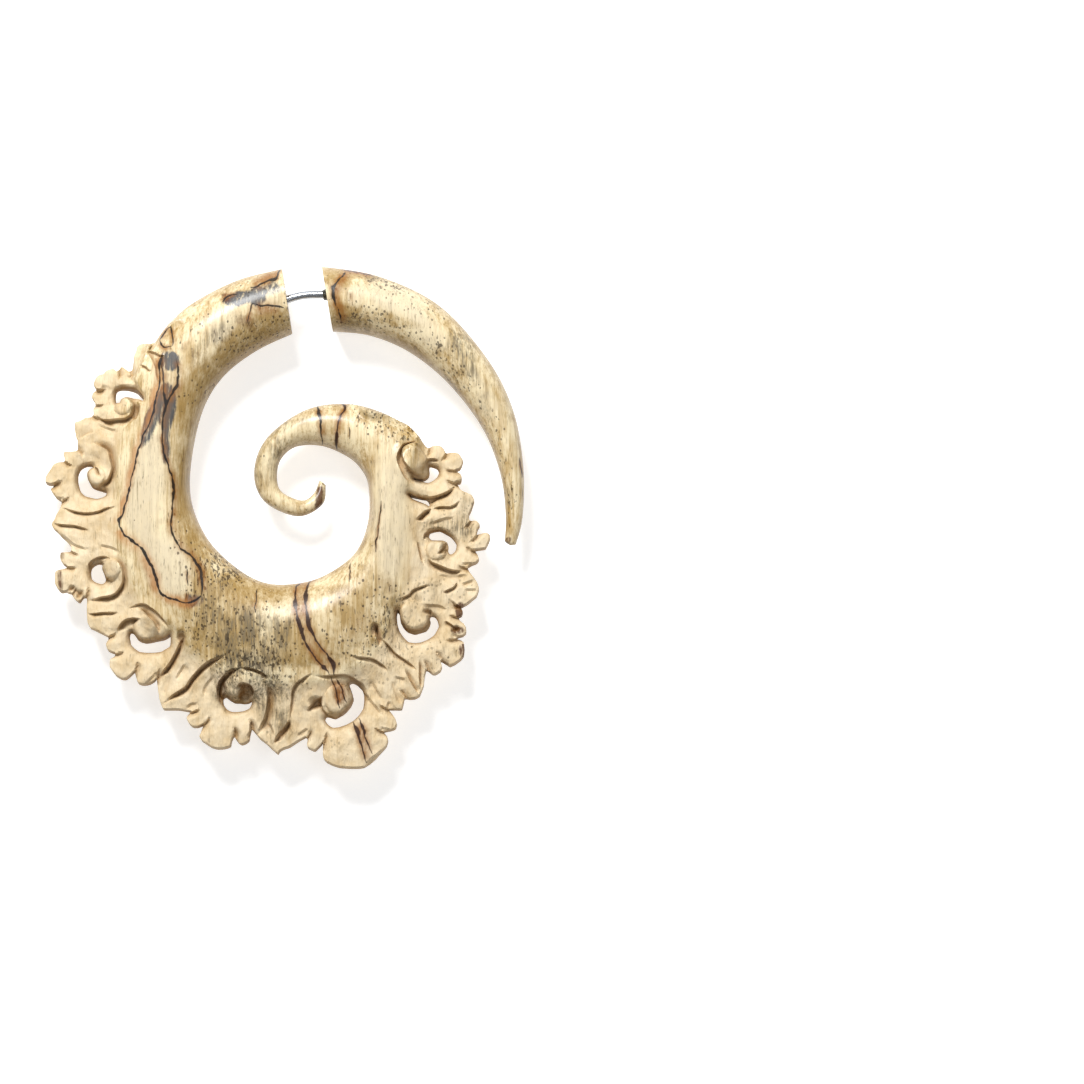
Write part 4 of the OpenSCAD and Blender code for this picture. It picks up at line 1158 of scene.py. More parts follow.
SPIRAL_PATCHES: PatchTable = {
    Tint.PALE: (
        (-17.2, 3.4, 2.5, 7.8, 1.0, -8), (-14.0, -6.6, 3.2, 4.2, 1.0, 30), (-14.2, 17.1, 0.9, 2.0, 0.6),
        (-4.9, -10.6, 4.2, 2.0, 0.4), (2.0, -11.9, 1.8, 2.8, 0.5), (13.5, -0.4, 2.5, 9.4, 0.9),
        (-7.4, 24.0, 2.0, 3.2, 0.6, -20), (-1.5, 27.1, 1.5, 1.8, 0.5), (2.0, 11.5, 2.5, 1.5, 0.4)),
    Tint.TAN: (
        (-7.4, 19.0, 7.8, 1.9, 1.02, 42), (-2.8, 23.4, 4.5, 2.0, 0.85, 22), (-4.9, 29.0, 5.5, 1.5, 0.68, 28),
        (-12.0, 9.6, 1.5, 8.8, 0.77, -4), (-11.0, -2.9, 2.0, 7.5, 0.77, 12),
        (-8.6, -12.9, 4.2, 5.5, 0.77, -35), (-2.8, -9.1, 7.5, 1.8, 0.51), (-2.8, -16.6, 7.5, 3.2, 0.77),
        # The first two patches on the next line are painted shade: they dim the lit bottom of the body and of
        # the curl.
        (-1.5, -10.8, 3.0, 2.0, 0.45), (1.4, 2.0, 1.8, 1.0, 0.5), (5.8, -15.4, 5.0, 5.5, 0.68),
        (11.8, -11.9, 4.2, 5.0, 0.59, 30), (-3.5, 8.4, 1.5, 5.0, 0.59, -15), (5.5, 11.5, 1.8, 2.5, 0.51),
        (11.5, 12.8, 3.8, 1.8, 0.34, -25), (10.1, 4.6, 1.0, 7.5, 0.34)),
    Tint.GREY: (
        (-1.8, 7.8, 2.0, 5.5, 0.56, -18), (2.0, 11.4, 2.2, 1.0, 0.31, 20), (-6.8, 24.6, 1.0, 3.8, 0.5, -15),
        (-9.9, 20.2, 1.2, 3.2, 0.37, -30), (-8.6, -10.4, 2.2, 3.5, 0.5, -30), (-3.6, -15.4, 5.8, 3.8, 0.74),
        (-5.2, -21.0, 4.2, 3.0, 0.74), (-1.1, -24.4, 2.2, 4.2, 0.62), (2.0, -21.6, 1.8, 2.0, 0.37),
        (-4.0, -6.6, 3.8, 1.2, 0.43, -10), (18.2, -9.8, 5.5, 1.5, 0.37, 5), (22.8, 0.6, 1.5, 2.2, 0.56),
        (20.8, -1.6, 3.2, 1.1, 0.62, -15), (-11.8, 5.9, 0.8, 6.2, 0.37), (-10.8, 21.5, 2.8, 1.0, 0.31, 40),
        (7.6, -29.4, 1.8, 1.0, 0.37), (17.6, -13.5, 2.5, 1.5, 0.25), (20.1, -5.4, 2.2, 1.2, 0.31),
        (7.6, -10.4, 1.8, 3.8, 0.19)),
    Tint.BLUE: (
        (-14.1, 19.0, 1.1, 1.2, 1.3), (-14.6, 13.6, 1.0, 2.4, 1.9), (-16.5, 11.5, 0.8, 3.2, 1.4, -20),
        (-5.8, 27.0, 1.7, 0.9, 1.4, 12), (-3.3, 27.4, 0.9, 1.3, 1.4), (-1.4, 28.4, 1.0, 1.0, 0.7),
        (-11.0, -11.0, 1.1, 0.8, 0.97), (-14.6, 9.6, 0.5, 3.8, 1.3)),
    Tint.BROWN: (
        (-7.2, 27.1, 0.6, 0.8, 0.75), (4.4, 2.4, 0.5, 1.7, 0.9, -8), (7.6, -22.9, 1.1, 1.6, 0.5),
        (22.1, -11.9, 0.6, 1.0, 1.2), (21.8, -14.4, 0.8, 0.5, 0.9), (22.4, -16.8, 0.5, 0.9, 0.9),
        (-27.8, -8.1, 0.4, 1.8, 0.68, 6), (-4.5, -21.9, 1.1, 1.0, 0.45), (-7.6, -21.6, 0.6, 2.2, 0.6),
        (-27.6, -5.0, 0.4, 0.6, 0.52), (-4.9, 23.6, 1.2, 1.5, 0.38)),
    Tint.SPECKLE: (
        (-2.8, 23.4, 5.5, 2.0, 0.83, 22), (-8.6, 17.8, 6.8, 1.2, 0.52, 45), (-10.5, 22.8, 3.8, 1.8, 0.3, 40),
        (10.8, -14.8, 5.5, 5.5, 0.68), (-4.0, -16.0, 7.5, 4.2, 0.9), (-8.6, -9.1, 2.8, 6.2, 0.68, -25),
        (-4.2, -21.0, 4.5, 3.2, 0.75), (-1.1, -25.4, 2.0, 3.8, 0.52), (-4.9, -6.9, 5.8, 1.8, 0.68, -12),
        (12.4, 11.5, 4.8, 2.0, 0.75, -28), (21.0, -1.0, 3.8, 2.0, 0.68, -15), (22.9, 0.9, 1.2, 2.2, 0.68),
        (20.1, -17.2, 3.0, 2.0, 0.52), (19.0, -9.9, 5.5, 1.8, 0.6), (-4.2, 9.0, 1.8, 5.5, 0.52, -18),
        (7.6, -29.1, 2.8, 1.2, 0.52), (-12.2, -5.4, 1.8, 5.5, 0.38, 15), (-4.0, 29.0, 4.2, 1.5, 0.45, 25),
        (2.0, -21.6, 2.2, 2.5, 0.38), (13.9, -15.4, 2.2, 3.8, 0.45)),
}

TUSK_LINES = (
    StainLine(Stain.BLACK, (
        7.9, 31.1, 7.4, 30.1, 6.8, 29.4, 6.2, 28.5, 6.1, 27.4, 6.4, 26.5, 6.8, 25.6, 7.1, 24.6,
        7.2, 23.9), 0.08, 0.54, 0.14),
    StainLine(Stain.BLACK, (6.0, 28.9, 5.9, 27.9, 5.9, 27.0), 0.05, 0.24, 0),
    StainLine(Stain.BLACK, (8.5, 28.0, 8.4, 26.2), 0.04, 0.12, 0),
    StainLine(Stain.BROWN, (7.0, 31.1, 8.2, 30.9, 9.8, 30.6, 11.4, 30.1), 0.07, 0.32, 0),
    StainLine(Stain.BLACK, (29.4, 7.4, 29.6, 6.0, 29.8, 4.8), 0.04, 0.18, 0),
)

TUSK_PATCHES: PatchTable = {
    Tint.TAN: (
        (6.5, 29.6, 2.0, 1.8, 0.94), (8.2, 30.6, 3.2, 0.8, 0.94, -8), (7.2, 24.4, 2.2, 1.5, 0.77),
        (11.4, 24.9, 6.2, 1.0, 0.59, -15), (21.4, 17.8, 4.2, 1.0, 0.42, -55),
        (27.0, -0.4, 1.0, 3.2, 0.34, 10)),
    Tint.PALE: (
        (13.9, 27.1, 4.2, 1.9, 0.9, -22), (18.2, 22.8, 3.0, 1.5, 0.7, -40), (8.9, 27.1, 1.2, 1.8, 0.6),
        (25.1, 14.6, 1.5, 4.2, 0.5, 28)),
    Tint.GREY: (
        (22.2, 20.9, 1.8, 3.2, 0.68, 20), (20.8, 17.1, 2.0, 1.2, 0.43, -50),
        (13.9, 29.0, 4.5, 0.9, 0.37, -18), (8.5, 24.0, 3.2, 0.9, 0.5, -8), (28.1, 2.9, 0.8, 1.8, 0.56),
        (24.5, 15.6, 1.0, 3.8, 0.37, 25)),
    Tint.BLUE: (
        (22.2, 21.5, 0.9, 2.0, 0.35, 20),),
    Tint.BROWN: (
        (28.0, -3.0, 0.6, 0.5, 0.8),),
    Tint.SPECKLE: (
        (12.6, 29.6, 4.5, 1.1, 0.75, -18), (12.6, 24.4, 7.0, 1.1, 0.75, -22),
        (16.4, 27.1, 3.8, 2.0, 0.45, -30), (21.4, 18.4, 5.0, 1.5, 0.68, -52), (28.1, 3.1, 1.0, 2.2, 0.75),
        (26.4, 9.6, 1.5, 4.2, 0.38, 18), (8.5, 24.4, 2.5, 1.0, 0.6), (9.5, 29.0, 3.8, 2.5, 0.3)),
}


SPIRAL_MARKINGS = Markings(SPIRAL_LINES, patches_of(SPIRAL_PATCHES))
TUSK_MARKINGS = Markings(TUSK_LINES, patches_of(TUSK_PATCHES))


class SpaltedWood(Surface):
    """Cream wood with fine grain, grey weathering, dark specks and spalting lines, with painted shade on its
    flanks and in its knife cuts.
    """

    # The edge colour is painted shade on the flanks, partly also the wood's darker tone there.
    pale, tan, edge = srgb("ecdbb4"), srgb("b69458"), srgb("96763c")
    # The last carved colour is painted shade for the knife cuts and carved walls.
    carved_pale, carved_tan, hollow_shade = srgb("e7d4b2"), srgb("cfb07b"), srgb("8a6025")
    grain, speck = srgb("6f5c38"), srgb("2b2013")
    coat = 0.25
    weathering = ((Tint.GREY, 0.75, -3.3), (Tint.BLUE, 0.9, -2.65), (Tint.BROWN, 0.9, -2.6))

    def __init__(self, name: str) -> None:
        """Lays the noises over the piece, stretched along the wood's fibres."""
        super().__init__(name, {"IOR": 1.45, "Coat Roughness": 0.22, "Coat Weight": self.coat,
                                "Specular IOR Level": 0.35})
        self.broad = self.noise((0.3, 0.05, 0.3), 3.0)
        self.streak = self.noise((2.4, 0.1, 2.4), 5.0, 0.7)
        self.fibre = self.noise((4.2, 0.45, 4.2), 3.0, 0.65)
        self.cloud = self.noise((0.5, 0.36, 0.5), 5.0, 0.65)
        self.hair = self.noise((7.5, 0.7, 7.5), 2.0, 0.6)
        self.flank_shade = self.attribute("flank_shade")

    def build(self, is_carved: bool) -> bpy.types.Material:
        """Builds the material.

        Args:
            is_carved: Whether the piece is carved.

        Returns:
            The material.
        """
        hair = self.hair + self.cloud.swing(0.3)
        lines = ((self.streak - 0.57) * 9.0).clamped() * 0.4 + ((hair - 0.57) * 8.0).clamped() * 0.42
        wood = self.mix(lines, self.plain(), self.grain)
        specks = self.specks()
        relief = self.fibre.swing(0.03) + self.streak.swing(0.03)
        roughness = self.streak * 0.2 + 0.3
        if is_carved:
            carved = self.attribute("carved")
            wood = self.whittled(wood, lines, carved)
            specks = specks * (1.1 - carved * 0.6)
            relief = relief + self.knife_marks() * carved
            roughness = roughness + carved * 0.25
            self.feed("Coat Weight", self.coat - carved * self.coat)
        wood = self.weathered(wood)
        wood = self.mix(specks.clamped() * 0.78, wood, self.speck)
        wood = self.stained(wood)
        if is_carved:
            # Painted shade in the knife cuts, on the carved walls and on steep carved faces.
            deep = self.attribute("hollow_shade") * 0.65 + self.flank_shade * carved * 0.4
            wood = self.mix((deep + self.cloud.swing(0.5)).clamped() * 0.8, wood, self.hollow_shade)
        self.feed("Base Color", wood)
        self.feed("Roughness", roughness + specks * 0.2)
        self.bump(relief - specks * 0.03)
        return self.material

    def zone(self, tint: Tint) -> Field:
        """Gives how strong one tint is, with the edges of its patches frayed."""
        spread = self.math("MULTIPLY_ADD", self.cloud, 2.4, -1.6)
        return self.math("MULTIPLY_ADD", self.attribute(tint.name.lower()), 1.5, spread).clamped()

    def plain(self) -> Field:
        """Gives the smooth wood with its pale and tan patches, darker on its flanks: painted shade, partly
        also the wood's own darker tone there.
        """
        tone = self.broad.swing(1.6) + self.streak.swing(2.8) + self.cloud.swing(1.4) + 0.33
        wood = self.mix(tone.clamped(), self.pale, self.tan)
        # Painted shade: the wood turns towards the edge colour where the surface turns away from the top,
        # partly also the wood's own darker tone there.
        shade = self.flank_shade * 1.7 + self.cloud.swing(1.2) + self.streak.swing(0.8) - 0.45
        wood = self.mix(shade.clamped() * 0.75, wood, self.edge)
        for tint in (Tint.PALE, Tint.TAN):
            zone = self.zone(tint) * (self.streak * 1.8)
            wood = self.mix(zone.clamped() * 0.9, wood, srgb(tint.value))
        return wood

    def whittled(self, wood: Field, lines: Field, carved: Field) -> Field:
        """Turns the wood creamier where it is carved.

        Args:
            wood: The wood so far.
            lines: How strong the fine lines of the grain are.
            carved: How carved each place is.

        Returns:
            The wood with its carved parts.
        """
        even = self.cloud.swing(1.8) + self.broad.swing(0.8) + self.streak.swing(0.5) + 0.3
        cream = self.mix(even.clamped(), self.carved_pale, self.carved_tan)
        cream = self.mix(lines * 0.38, cream, self.grain)
        return self.mix((carved * 1.5 + (self.cloud - 0.5) * carved * 2.0).clamped(), wood, cream)

    def knife_marks(self) -> Field:
        """Gives the small facets that the knife leaves, in millimetres."""
        knife = self.noise((1.5, 0.9, 1.5), 4.0, 0.6)
        return knife.swing(0.2) + self.cells((1.1, 0.7, 1.1), "Distance") * 0.12 + self.hair.swing(0.07)

    def weathered(self, wood: Field) -> Field:
        """Lays the grey, blue and brown weathering over the wood."""
        fray = self.streak * 3.2 + self.fibre * 4.8
        for tint, rate, base in self.weathering:
            frayed = self.zone(tint) * (fray + base)
            wood = self.mix(frayed.clamped() * rate, wood, srgb(tint.value))
        return wood

    def stained(self, wood: Field) -> Field:
        """Draws the stain lines over the wood: a halo that comes and goes, and a frayed thread."""
        for stain in Stain:
            thread, glow, strength = stain.value
            cover = self.cloud * 3.0 + self.fibre - 1.05
            halo = self.attribute(f"{stain.name.lower()}_glow") * cover
            wood = self.mix(halo.clamped() * strength, wood, srgb(glow))
            gap = self.attribute(f"{stain.name.lower()}_gap") + self.fibre.swing(0.2)
            wood = self.mix(gap.step(0.1, -0.02) * 0.95, wood, srgb(thread))
        return wood

    def specks(self) -> Field:
        """Draws the dark specks and the short dashes of the pores."""
        crowd = self.attribute("speckle")
        blots = self.noise((2.3, 1.3, 2.3), 3.0, 0.6) + crowd * 0.13
        dashes = self.noise((3.6, 0.55, 3.6), 1.0) + crowd * 0.1 + self.cloud.swing(0.25)
        pores = ((blots - 0.71) * 16.0).clamped() + ((dashes - 0.735) * 18.0).clamped() * 0.8
        spacing = (2.0, 1.6, 2.0)
        chosen = self.node("ShaderNodeSeparateColor", {}, {0: self.cells(spacing, "Color")})
        ragged = self.cells(spacing, "Distance") + self.fibre.swing(0.5) + chosen * 0.2
        dots = ragged.step(0.35, 0.24) * (crowd * 0.8 - chosen).step(-0.05, 0.1)
        return pores + dots * 0.9


@dataclass(frozen=True)
class BrushedSteel:
    """Drawn steel wire with fine lines round it."""

    name: str = "post_steel"
    bright: str = "c9cdd2"
    dull: str = "8f949b"

    def build(self) -> bpy.types.Material:
        """Builds the material."""
        mat = Surface(self.name, {"Metallic": 1.0})
        lines = mat.noise((1.5, 14.0, 14.0), 3.0, 0.6)
        mat.feed("Base Color", mat.mix(lines, srgb(self.bright), srgb(self.dull)))
        mat.feed("Roughness", lines * 0.2 + 0.16)
        mat.bump(lines.swing(0.006))
        return mat.material


@dataclass(frozen=True)
class DarkGlue:
    """A dark glossy bead of glue with wood dust in it."""

    name: str = "dark_glue"
    body: str = "2c2a1e"
    dust: str = "7a6a48"

    def build(self) -> bpy.types.Material:
        """Builds the material."""
        mat = Surface(self.name, {"IOR": 1.5})
        dust = mat.noise((4.0, 4.0, 4.0), 3.0, 0.6)
        mat.feed("Base Color", mat.mix(dust.step(0.5, 0.75), srgb(self.body), srgb(self.dust)))
        mat.feed("Roughness", dust * 0.4 + 0.1)
        mat.bump(dust.swing(0.05))
        return mat.material


@dataclass(frozen=True)
class WhiteSheet:
    """The plain white floor."""

    name: str = "white_sheet"
    grey: float = 0.66
    glow: float = 0.62

    def build(self) -> bpy.types.Material:
        """Builds the material."""
        return Surface(self.name, {"Base Color": (self.grey, self.grey, self.grey, 1.0), "Roughness": 0.9,
                                   "Specular IOR Level": 0.1, "Emission Color": (1.0, 1.0, 1.0, 1.0),
                                   "Emission Strength": self.glow}).material


@dataclass(frozen=True)
class Relief:
    """The carved surface over the plan: half thickness, how carved each point is, and how much painted shade
    it gets from the depth of the knife cuts.
    """

    height: np.ndarray
    carved: np.ndarray
    hollow_shade: np.ndarray


@dataclass
class CarvedSpiral:
    """The spiral with its carved and pierced border."""

    markings: Markings = SPIRAL_MARKINGS
    pitch: float = 0.19
    rim_pitch: float = 0.15
    body_pitch: float = 0.36
    body_angles: int = 27
    body_share: float = 0.6
    fine_pitch: float = 0.2
    fine_angles: int = 97
    past_end: float = 0.3
    sharp_deg: float = 32.0
    bevel: float = 0.12
    least_edge: float = 0.4
    least_half: float = 0.5
    root_half: float = 2.5
    rim_half: float = 1.3
    leaf_power: float = 0.9
    leaf_lap: float = 1.2
    leaf_dive: float = 1.2
    fillet: float = 0.9
    fillet_reach: float = 1.7
    fillet_start: float = 2.0
    tip_drop: float = 1.6
    tip_run: float = 4.0
    tube_fall: float = 1.3
    join: float = 1.0
    waves: tuple[tuple[float, float, int], ...] = ((0.05, 1.7, 3), (0.03, 0.7, 8))
    carved_run: float = 2.4
    spare_from: float = 1.6
    spare_run: float = 1.2
    plain_gap: float = 0.5
    bare_band: float = 0.15
    tube_edge_run: float = 2.5
    rim_edge_run: float = 2.6
    rim_edge_rise: float = 3.6
    tip_edge_run: float = 3.0
    tip_edge_rise: float = 0.7
    curl_run: float = 1.5
    curl_least: float = 0.1
    curl_rise: float = 2.2
    bud_rise: float = 0.5
    bud_reach: float = 1.15
    bud_power: int = 7
    dish: float = 0.65
    dish_run: float = 1.9
    dish_power: float = 1.5
    hole_bevel: float = 0.45
    hole_drop: float = 0.55
    notch_reach: float = 0.6
    notch_bend: float = -0.55
    notch_length: float = 0.8
    notch_growth: float = 0.5
    stroke_pitch: float = 0.25
    stroke_fade: float = 0.3
    stroke_start: float = 0.12
    stroke_narrow: float = 0.35
    foot_power: float = 1.3
    crest_pitch: float = 0.16
    stain_room: float = 0.1
    ledge_room: float = 0.085
    line_room: float = 0.09
    fill_room: float = 0.68
    wall_levels: tuple[float, ...] = (0.9, 0.45, 0.0, -0.45, -0.9)
    wall_shoulder: float = 0.08
    # How much painted shade the carved walls of the outline get.
    wall_shade: float = 0.55
    bore_exit: Point = (0.15, 27.5)
    bore_angle: float = 20.0
    bore_depth: float = 8.5
    bore_past: float = 3.0
    sweep: Sweep = field(init=False)
    tree: BVHTree = field(init=False)
    face_zone: list[bool] = field(init=False)
    rim: np.ndarray = field(init=False)
    bare: np.ndarray = field(init=False)
    inner: np.ndarray = field(init=False)
    hole_edges: np.ndarray = field(init=False)
    edge: np.ndarray = field(init=False)

    def __post_init__(self) -> None:
        """Sweeps the tube and prepares it for height readings."""
        self.sweep = Sweep(SPIRAL_ROWS, self.body_pitch)
        fine = Sweep(SPIRAL_ROWS, self.fine_pitch)
        grid = fine.grid(np.linspace(0, math.pi, self.fine_angles))
        grid = np.concatenate([grid[:1] - self.past_end * (grid[1:2] - grid[:1]), grid])
        count, across = grid.shape[:2]
        faces = [(i * across + j, (i + 1) * across + j, (i + 1) * across + j + 1, i * across + j + 1)
                 for i in range(count - 1) for j in range(across - 1)]
        self.tree = BVHTree.FromPolygons(grid.reshape(-1, 3).tolist(), faces)
        self.edge = fine.stations[fine.bordered(), OUTER]
        bordered = np.insert(fine.bordered(), 0, False)
        limit = int(across * self.body_share)
        self.face_zone = [bool(bordered[i]) and j >= limit
                          for i in range(count - 1) for j in range(across - 1)]

    def outline(self) -> list[np.ndarray]:
        """Joins the tube's smooth edges with the border's outline.

        Returns:
            The outer loop, then the loops of the pierced holes.
        """
        stations = self.sweep.stations
        fine = even_steps(as_points(RIM), STEP)
        fine[1:-1] = 0.5 * fine[1:-1] + 0.25 * (fine[:-2] + fine[2:])
        self.rim = even_steps(fine, self.rim_pitch)
        leaving, coming = (int(np.argmin(np.linalg.norm(stations[:, OUTER] - end, axis=1)))
                           for end in (self.rim[0], self.rim[-1]))
        self.bare = np.vstack([even_steps(part, CLOSE)
                               for part in (stations[:leaving + 1, OUTER], stations[coming:, OUTER])])
        self.inner = even_steps(stations[:, INNER], CLOSE)
        cut_end, curl_end = (even_steps(np.vstack(pair), self.fine_pitch)[1:-1] for pair in (
            (stations[0, INNER], stations[0, OUTER]), (stations[-1, OUTER], stations[-1, INNER])))
        loop = np.vstack([cut_end, stations[:leaving, OUTER], self.rim, stations[coming + 1:, OUTER],
                          curl_end, stations[::-1, INNER]])
        LOG.info("border runs from station %d to %d of %d", leaving, coming, len(stations))
        holes = [as_points(outline) for outline in (*(scroll.hole for scroll in SCROLLS), SLIT)]
        holes = [rounded_loop(even_steps(hole, STEP, closed=True), 3) for hole in holes]
        return [loop, *(even_steps(hole, self.rim_pitch, closed=True) for hole in holes)]

    def tube_height(self, points: np.ndarray) -> tuple[np.ndarray, np.ndarray]:
        """Reads the tube's half thickness.

        Args:
            points: Where, in the plan.

        Returns:
            The half thickness, which is minus infinity outside the tube, and whether the place may be carved.
        """
        height = np.full(len(points), -np.inf)
        zone = np.ones(len(points), bool)
        above, down = 20, Vector((0, 0, -1))
        for number, (x, y) in enumerate(points):
            hit = self.tree.ray_cast((x, y, above), down)
            if hit[0] is not None:
                height[number] = hit[0].z
                zone[number] = self.face_zone[hit[2]]
        return height, zone

    def relief(self, points: np.ndarray) -> Relief:
        """Works out the carved surface over the plan.

        Args:
            points: Where, in the plan.

        Returns:
            The carved surface.
        """
        tube, _ = self.tube_height(points)
        outside = np.isinf(tube)
        to_tube = nearest(points, self.edge)
        to_rim = nearest(points, even_steps(self.rim, STEP))
        to_hole = nearest(points, self.hole_edges)
        tips = np.minimum(*(np.linalg.norm(points - tip, axis=1) for tip in (self.rim[0], self.rim[-1])))
        tube = np.where(outside, self.root_half - self.tube_fall * to_tube, tube)
        leaf = self.leaf_shape(outside, to_tube, to_rim, tips) + self.scroll_shape(points, to_hole)
        for rise, size, seed in self.waves:
            leaf = leaf + rise * ripple(points, size, seed)
        spared = eased((leaf + self.spare_from - tube) / self.spare_run)
        cuts = np.zeros(len(points))
        for stroke in (*STROKES, *self.notches()):
            cuts = cuts + self.stroke_shape(points, stroke, spared)
        cuts = cuts - self.pit_shape(points) - self.hole_drop * np.clip(1 - to_hole / self.hole_bevel, 0, 1)
        height = np.clip(soft_max(tube, leaf, self.join) + cuts, self.least_half, MID_Z)
        plain = (~outside) & (leaf + self.plain_gap < tube) & (np.abs(cuts) < SMALL)
        height = self.worn(points, np.where(plain, tube, height), to_rim, tips)
        to_smooth = np.minimum(nearest(points, self.bare), nearest(points, self.inner))
        carved = np.where(outside & (to_smooth >= self.bare_band), eased(to_tube / self.carved_run), 0)
        carved = np.maximum(carved, eased((-cuts - 0.1) / 0.4) * 0.8)
        # The last field is painted shade for the knife cuts, by how deep they go.
        return Relief(height, carved, eased((-cuts - 0.12) / 0.5))

    def leaf_shape(self, outside: np.ndarray, to_tube: np.ndarray, to_rim: np.ndarray,
                   tips: np.ndarray) -> np.ndarray:
        """Gives the border before it is carved: a leaf that thins towards its rim, filleted to the tube.

        Args:
            outside: Whether each point is outside the tube.
            to_tube: How far it is from the tube's outer edge.
            to_rim: How far it is from the rim.
            tips: How far it is from the nearer end of the rim.

        Returns:
            The leaf's half thickness.
        """
        guard = 0.01
        share = np.where(outside, to_tube / (to_tube + to_rim + guard), 0)
        leaf = self.root_half + (self.rim_half - self.root_half) * share ** self.leaf_power
        leaf = leaf - np.where(outside, 0, np.clip(to_tube - self.leaf_lap, 0, None) * self.leaf_dive)
        bulge = np.exp(-(to_tube / self.fillet_reach) ** 2)
        leaf = leaf + self.fillet * bulge * eased(to_rim / self.fillet_start)
        return leaf - self.tip_drop * (1 - eased(tips / self.tip_run))

    def worn(self, points: np.ndarray, height: np.ndarray, to_rim: np.ndarray,
             tips: np.ndarray) -> np.ndarray:
        """Rounds the surface off towards the rim, the smooth edges and the curl's end.

        Args:
            points: Where, in the plan.
            height: The half thickness so far.
            to_rim: How far each point is from the rim.
            tips: How far it is from the nearer end of the rim.

        Returns:
            The rounded half thickness.
        """
        rim_edge = self.least_edge + self.tip_edge_rise * eased(tips / self.tip_edge_run)
        height = np.minimum(height, rim_edge + self.rim_edge_rise * quarter_round(to_rim, self.rim_edge_run))
        height = np.minimum(height, MID_Z * quarter_round(nearest(points, self.bare), self.tube_edge_run))
        last = self.sweep.stations[-1]
        to_last = np.linalg.norm(points - (last[INNER] + last[OUTER]) / 2, axis=1)
        curl = self.curl_least + self.curl_rise * quarter_round(to_last, self.curl_run)
        return np.where(to_last < self.curl_run, np.minimum(height, curl), height)

    def scroll_shape(self, points: np.ndarray, to_hole: np.ndarray) -> np.ndarray:
        """Gives the dishes round the pierced crescents and the buds beside them.

        Args:
            points: Where, in the plan.
            to_hole: How far each point is from the edge of a hole.

        Returns:
            What they add to the leaf.
        """
        change = -self.dish * np.clip(1 - to_hole / self.dish_run, 0, 1) ** self.dish_power
        for scroll in SCROLLS:
            reach = np.linalg.norm(points - np.array(scroll.bud), axis=1) / scroll.bud_r
            dome = self.bud_rise * np.clip(1 - (reach / self.bud_reach) ** self.bud_power, 0, 1)
            change = np.where(reach < self.bud_reach, np.maximum(dome, change), change)
        return change

    def notches(self) -> list[Stroke]:
        """Finds the notches of the rim, and gives the short grooves that run inwards from them."""
        span = round(self.notch_reach / self.rim_pitch)
        back, ahead = (np.roll(self.rim, shift, axis=0) - self.rim for shift in (span, -span))
        turn = ahead[:, 0] * back[:, 1] - ahead[:, 1] * back[:, 0]
        sharp = turn / (np.linalg.norm(back, axis=1) * np.linalg.norm(ahead, axis=1))
        straight = np.sum(back * ahead, axis=1)
        bend = np.where(straight > 0, np.sign(sharp) * (2 - np.abs(sharp)), sharp)
        found = []
        for k in range(2 * span, len(self.rim) - 2 * span):
            if bend[k] < self.notch_bend and bend[k] == bend[k - span:k + span + 1].min():
                inward = -(back[k] + ahead[k])
                length = self.notch_length + self.notch_growth * abs(bend[k])
                inward = inward / (np.linalg.norm(inward) + TINY) * length
                side = Side.LEFT if -inward[1] - inward[0] > 0 else Side.RIGHT
                ends = np.concatenate([self.rim[k] + share * inward for share in (-1.0, 0.0, 1.0)])
                found.append(Stroke(Cut.NOTCH, tuple(ends), side, bites=True))
        LOG.info("rim has %d notches", len(found))
        return found

    @staticmethod
    def pit_shape(points: np.ndarray) -> np.ndarray:
        """Gives how deep the pits are at each point of the plan."""
        fade_from = 1.2
        depth = np.zeros(len(points))
        for pit in PITS:
            reach = np.linalg.norm((points - np.array(pit.centre)) / np.array(pit.size), axis=1)
            depth = np.maximum(depth, pit.depth * eased(fade_from - reach))
        return depth

    def stroke_shape(self, points: np.ndarray, stroke: Stroke, spared: np.ndarray) -> np.ndarray:
        """Gives what one carved line adds or takes away.

        Args:
            points: Where, in the plan.
            stroke: The carved line.
            spared: How much is left at each point of a cut that doesn't bite into the tube.

        Returns:
            The change of half thickness.
        """
        profile = stroke.cut.value
        line = smooth_points(stroke.points, self.stroke_pitch)
        margin = max(profile.back, profile.wall + profile.run)
        near = np.all((points > line.min(0) - margin) & (points < line.max(0) + margin), axis=1)
        change = np.zeros(len(points))
        if not near.any():
            return change
        signed, walked, length = beside_line(points[near], line)
        signed = signed * stroke.side.value
        fade = eased(np.minimum(walked, length - walked) / (self.stroke_fade * length) + self.stroke_start)
        narrow = self.stroke_narrow + (1 - self.stroke_narrow) * fade
        width, run = profile.wall * narrow, profile.run * narrow
        behind = profile.rise * np.clip(1 + signed / profile.back, 0, 1)
        wall = profile.rise - (profile.rise + profile.depth) * np.clip(signed / width, 0, 1)
        foot = -profile.depth * np.clip(1 - (signed - width) / run, 0, 1) ** self.foot_power
        value = np.where(signed < 0, behind, np.where(signed < width, wall, foot)) * fade
        change[near] = value * (1 if stroke.bites else spared[near])
        return change

    def build(self) -> bpy.types.Object:
        """Builds the carved spiral.

        Returns:
            The finished mesh object.
        """
        loops = self.outline()
        self.hole_edges = np.vstack([even_steps(hole, STEP, closed=True) for hole in loops[1:]])
        obj = self.assemble(loops, *self.plan(loops))
        finish_mesh(obj, self.sharp_deg)
        report(obj)
        turn = math.radians(self.bore_angle)
        start = (self.bore_exit[0] - self.bore_depth * math.cos(turn),
                 self.bore_exit[1] - self.bore_depth * math.sin(turn), MID_Z)
        cut_by(obj, drill("spiral_drill", start, self.bore_angle, self.bore_depth + self.bore_past))
        finish_mesh(obj, self.sharp_deg)
        self.markings.paint(obj)
        return obj

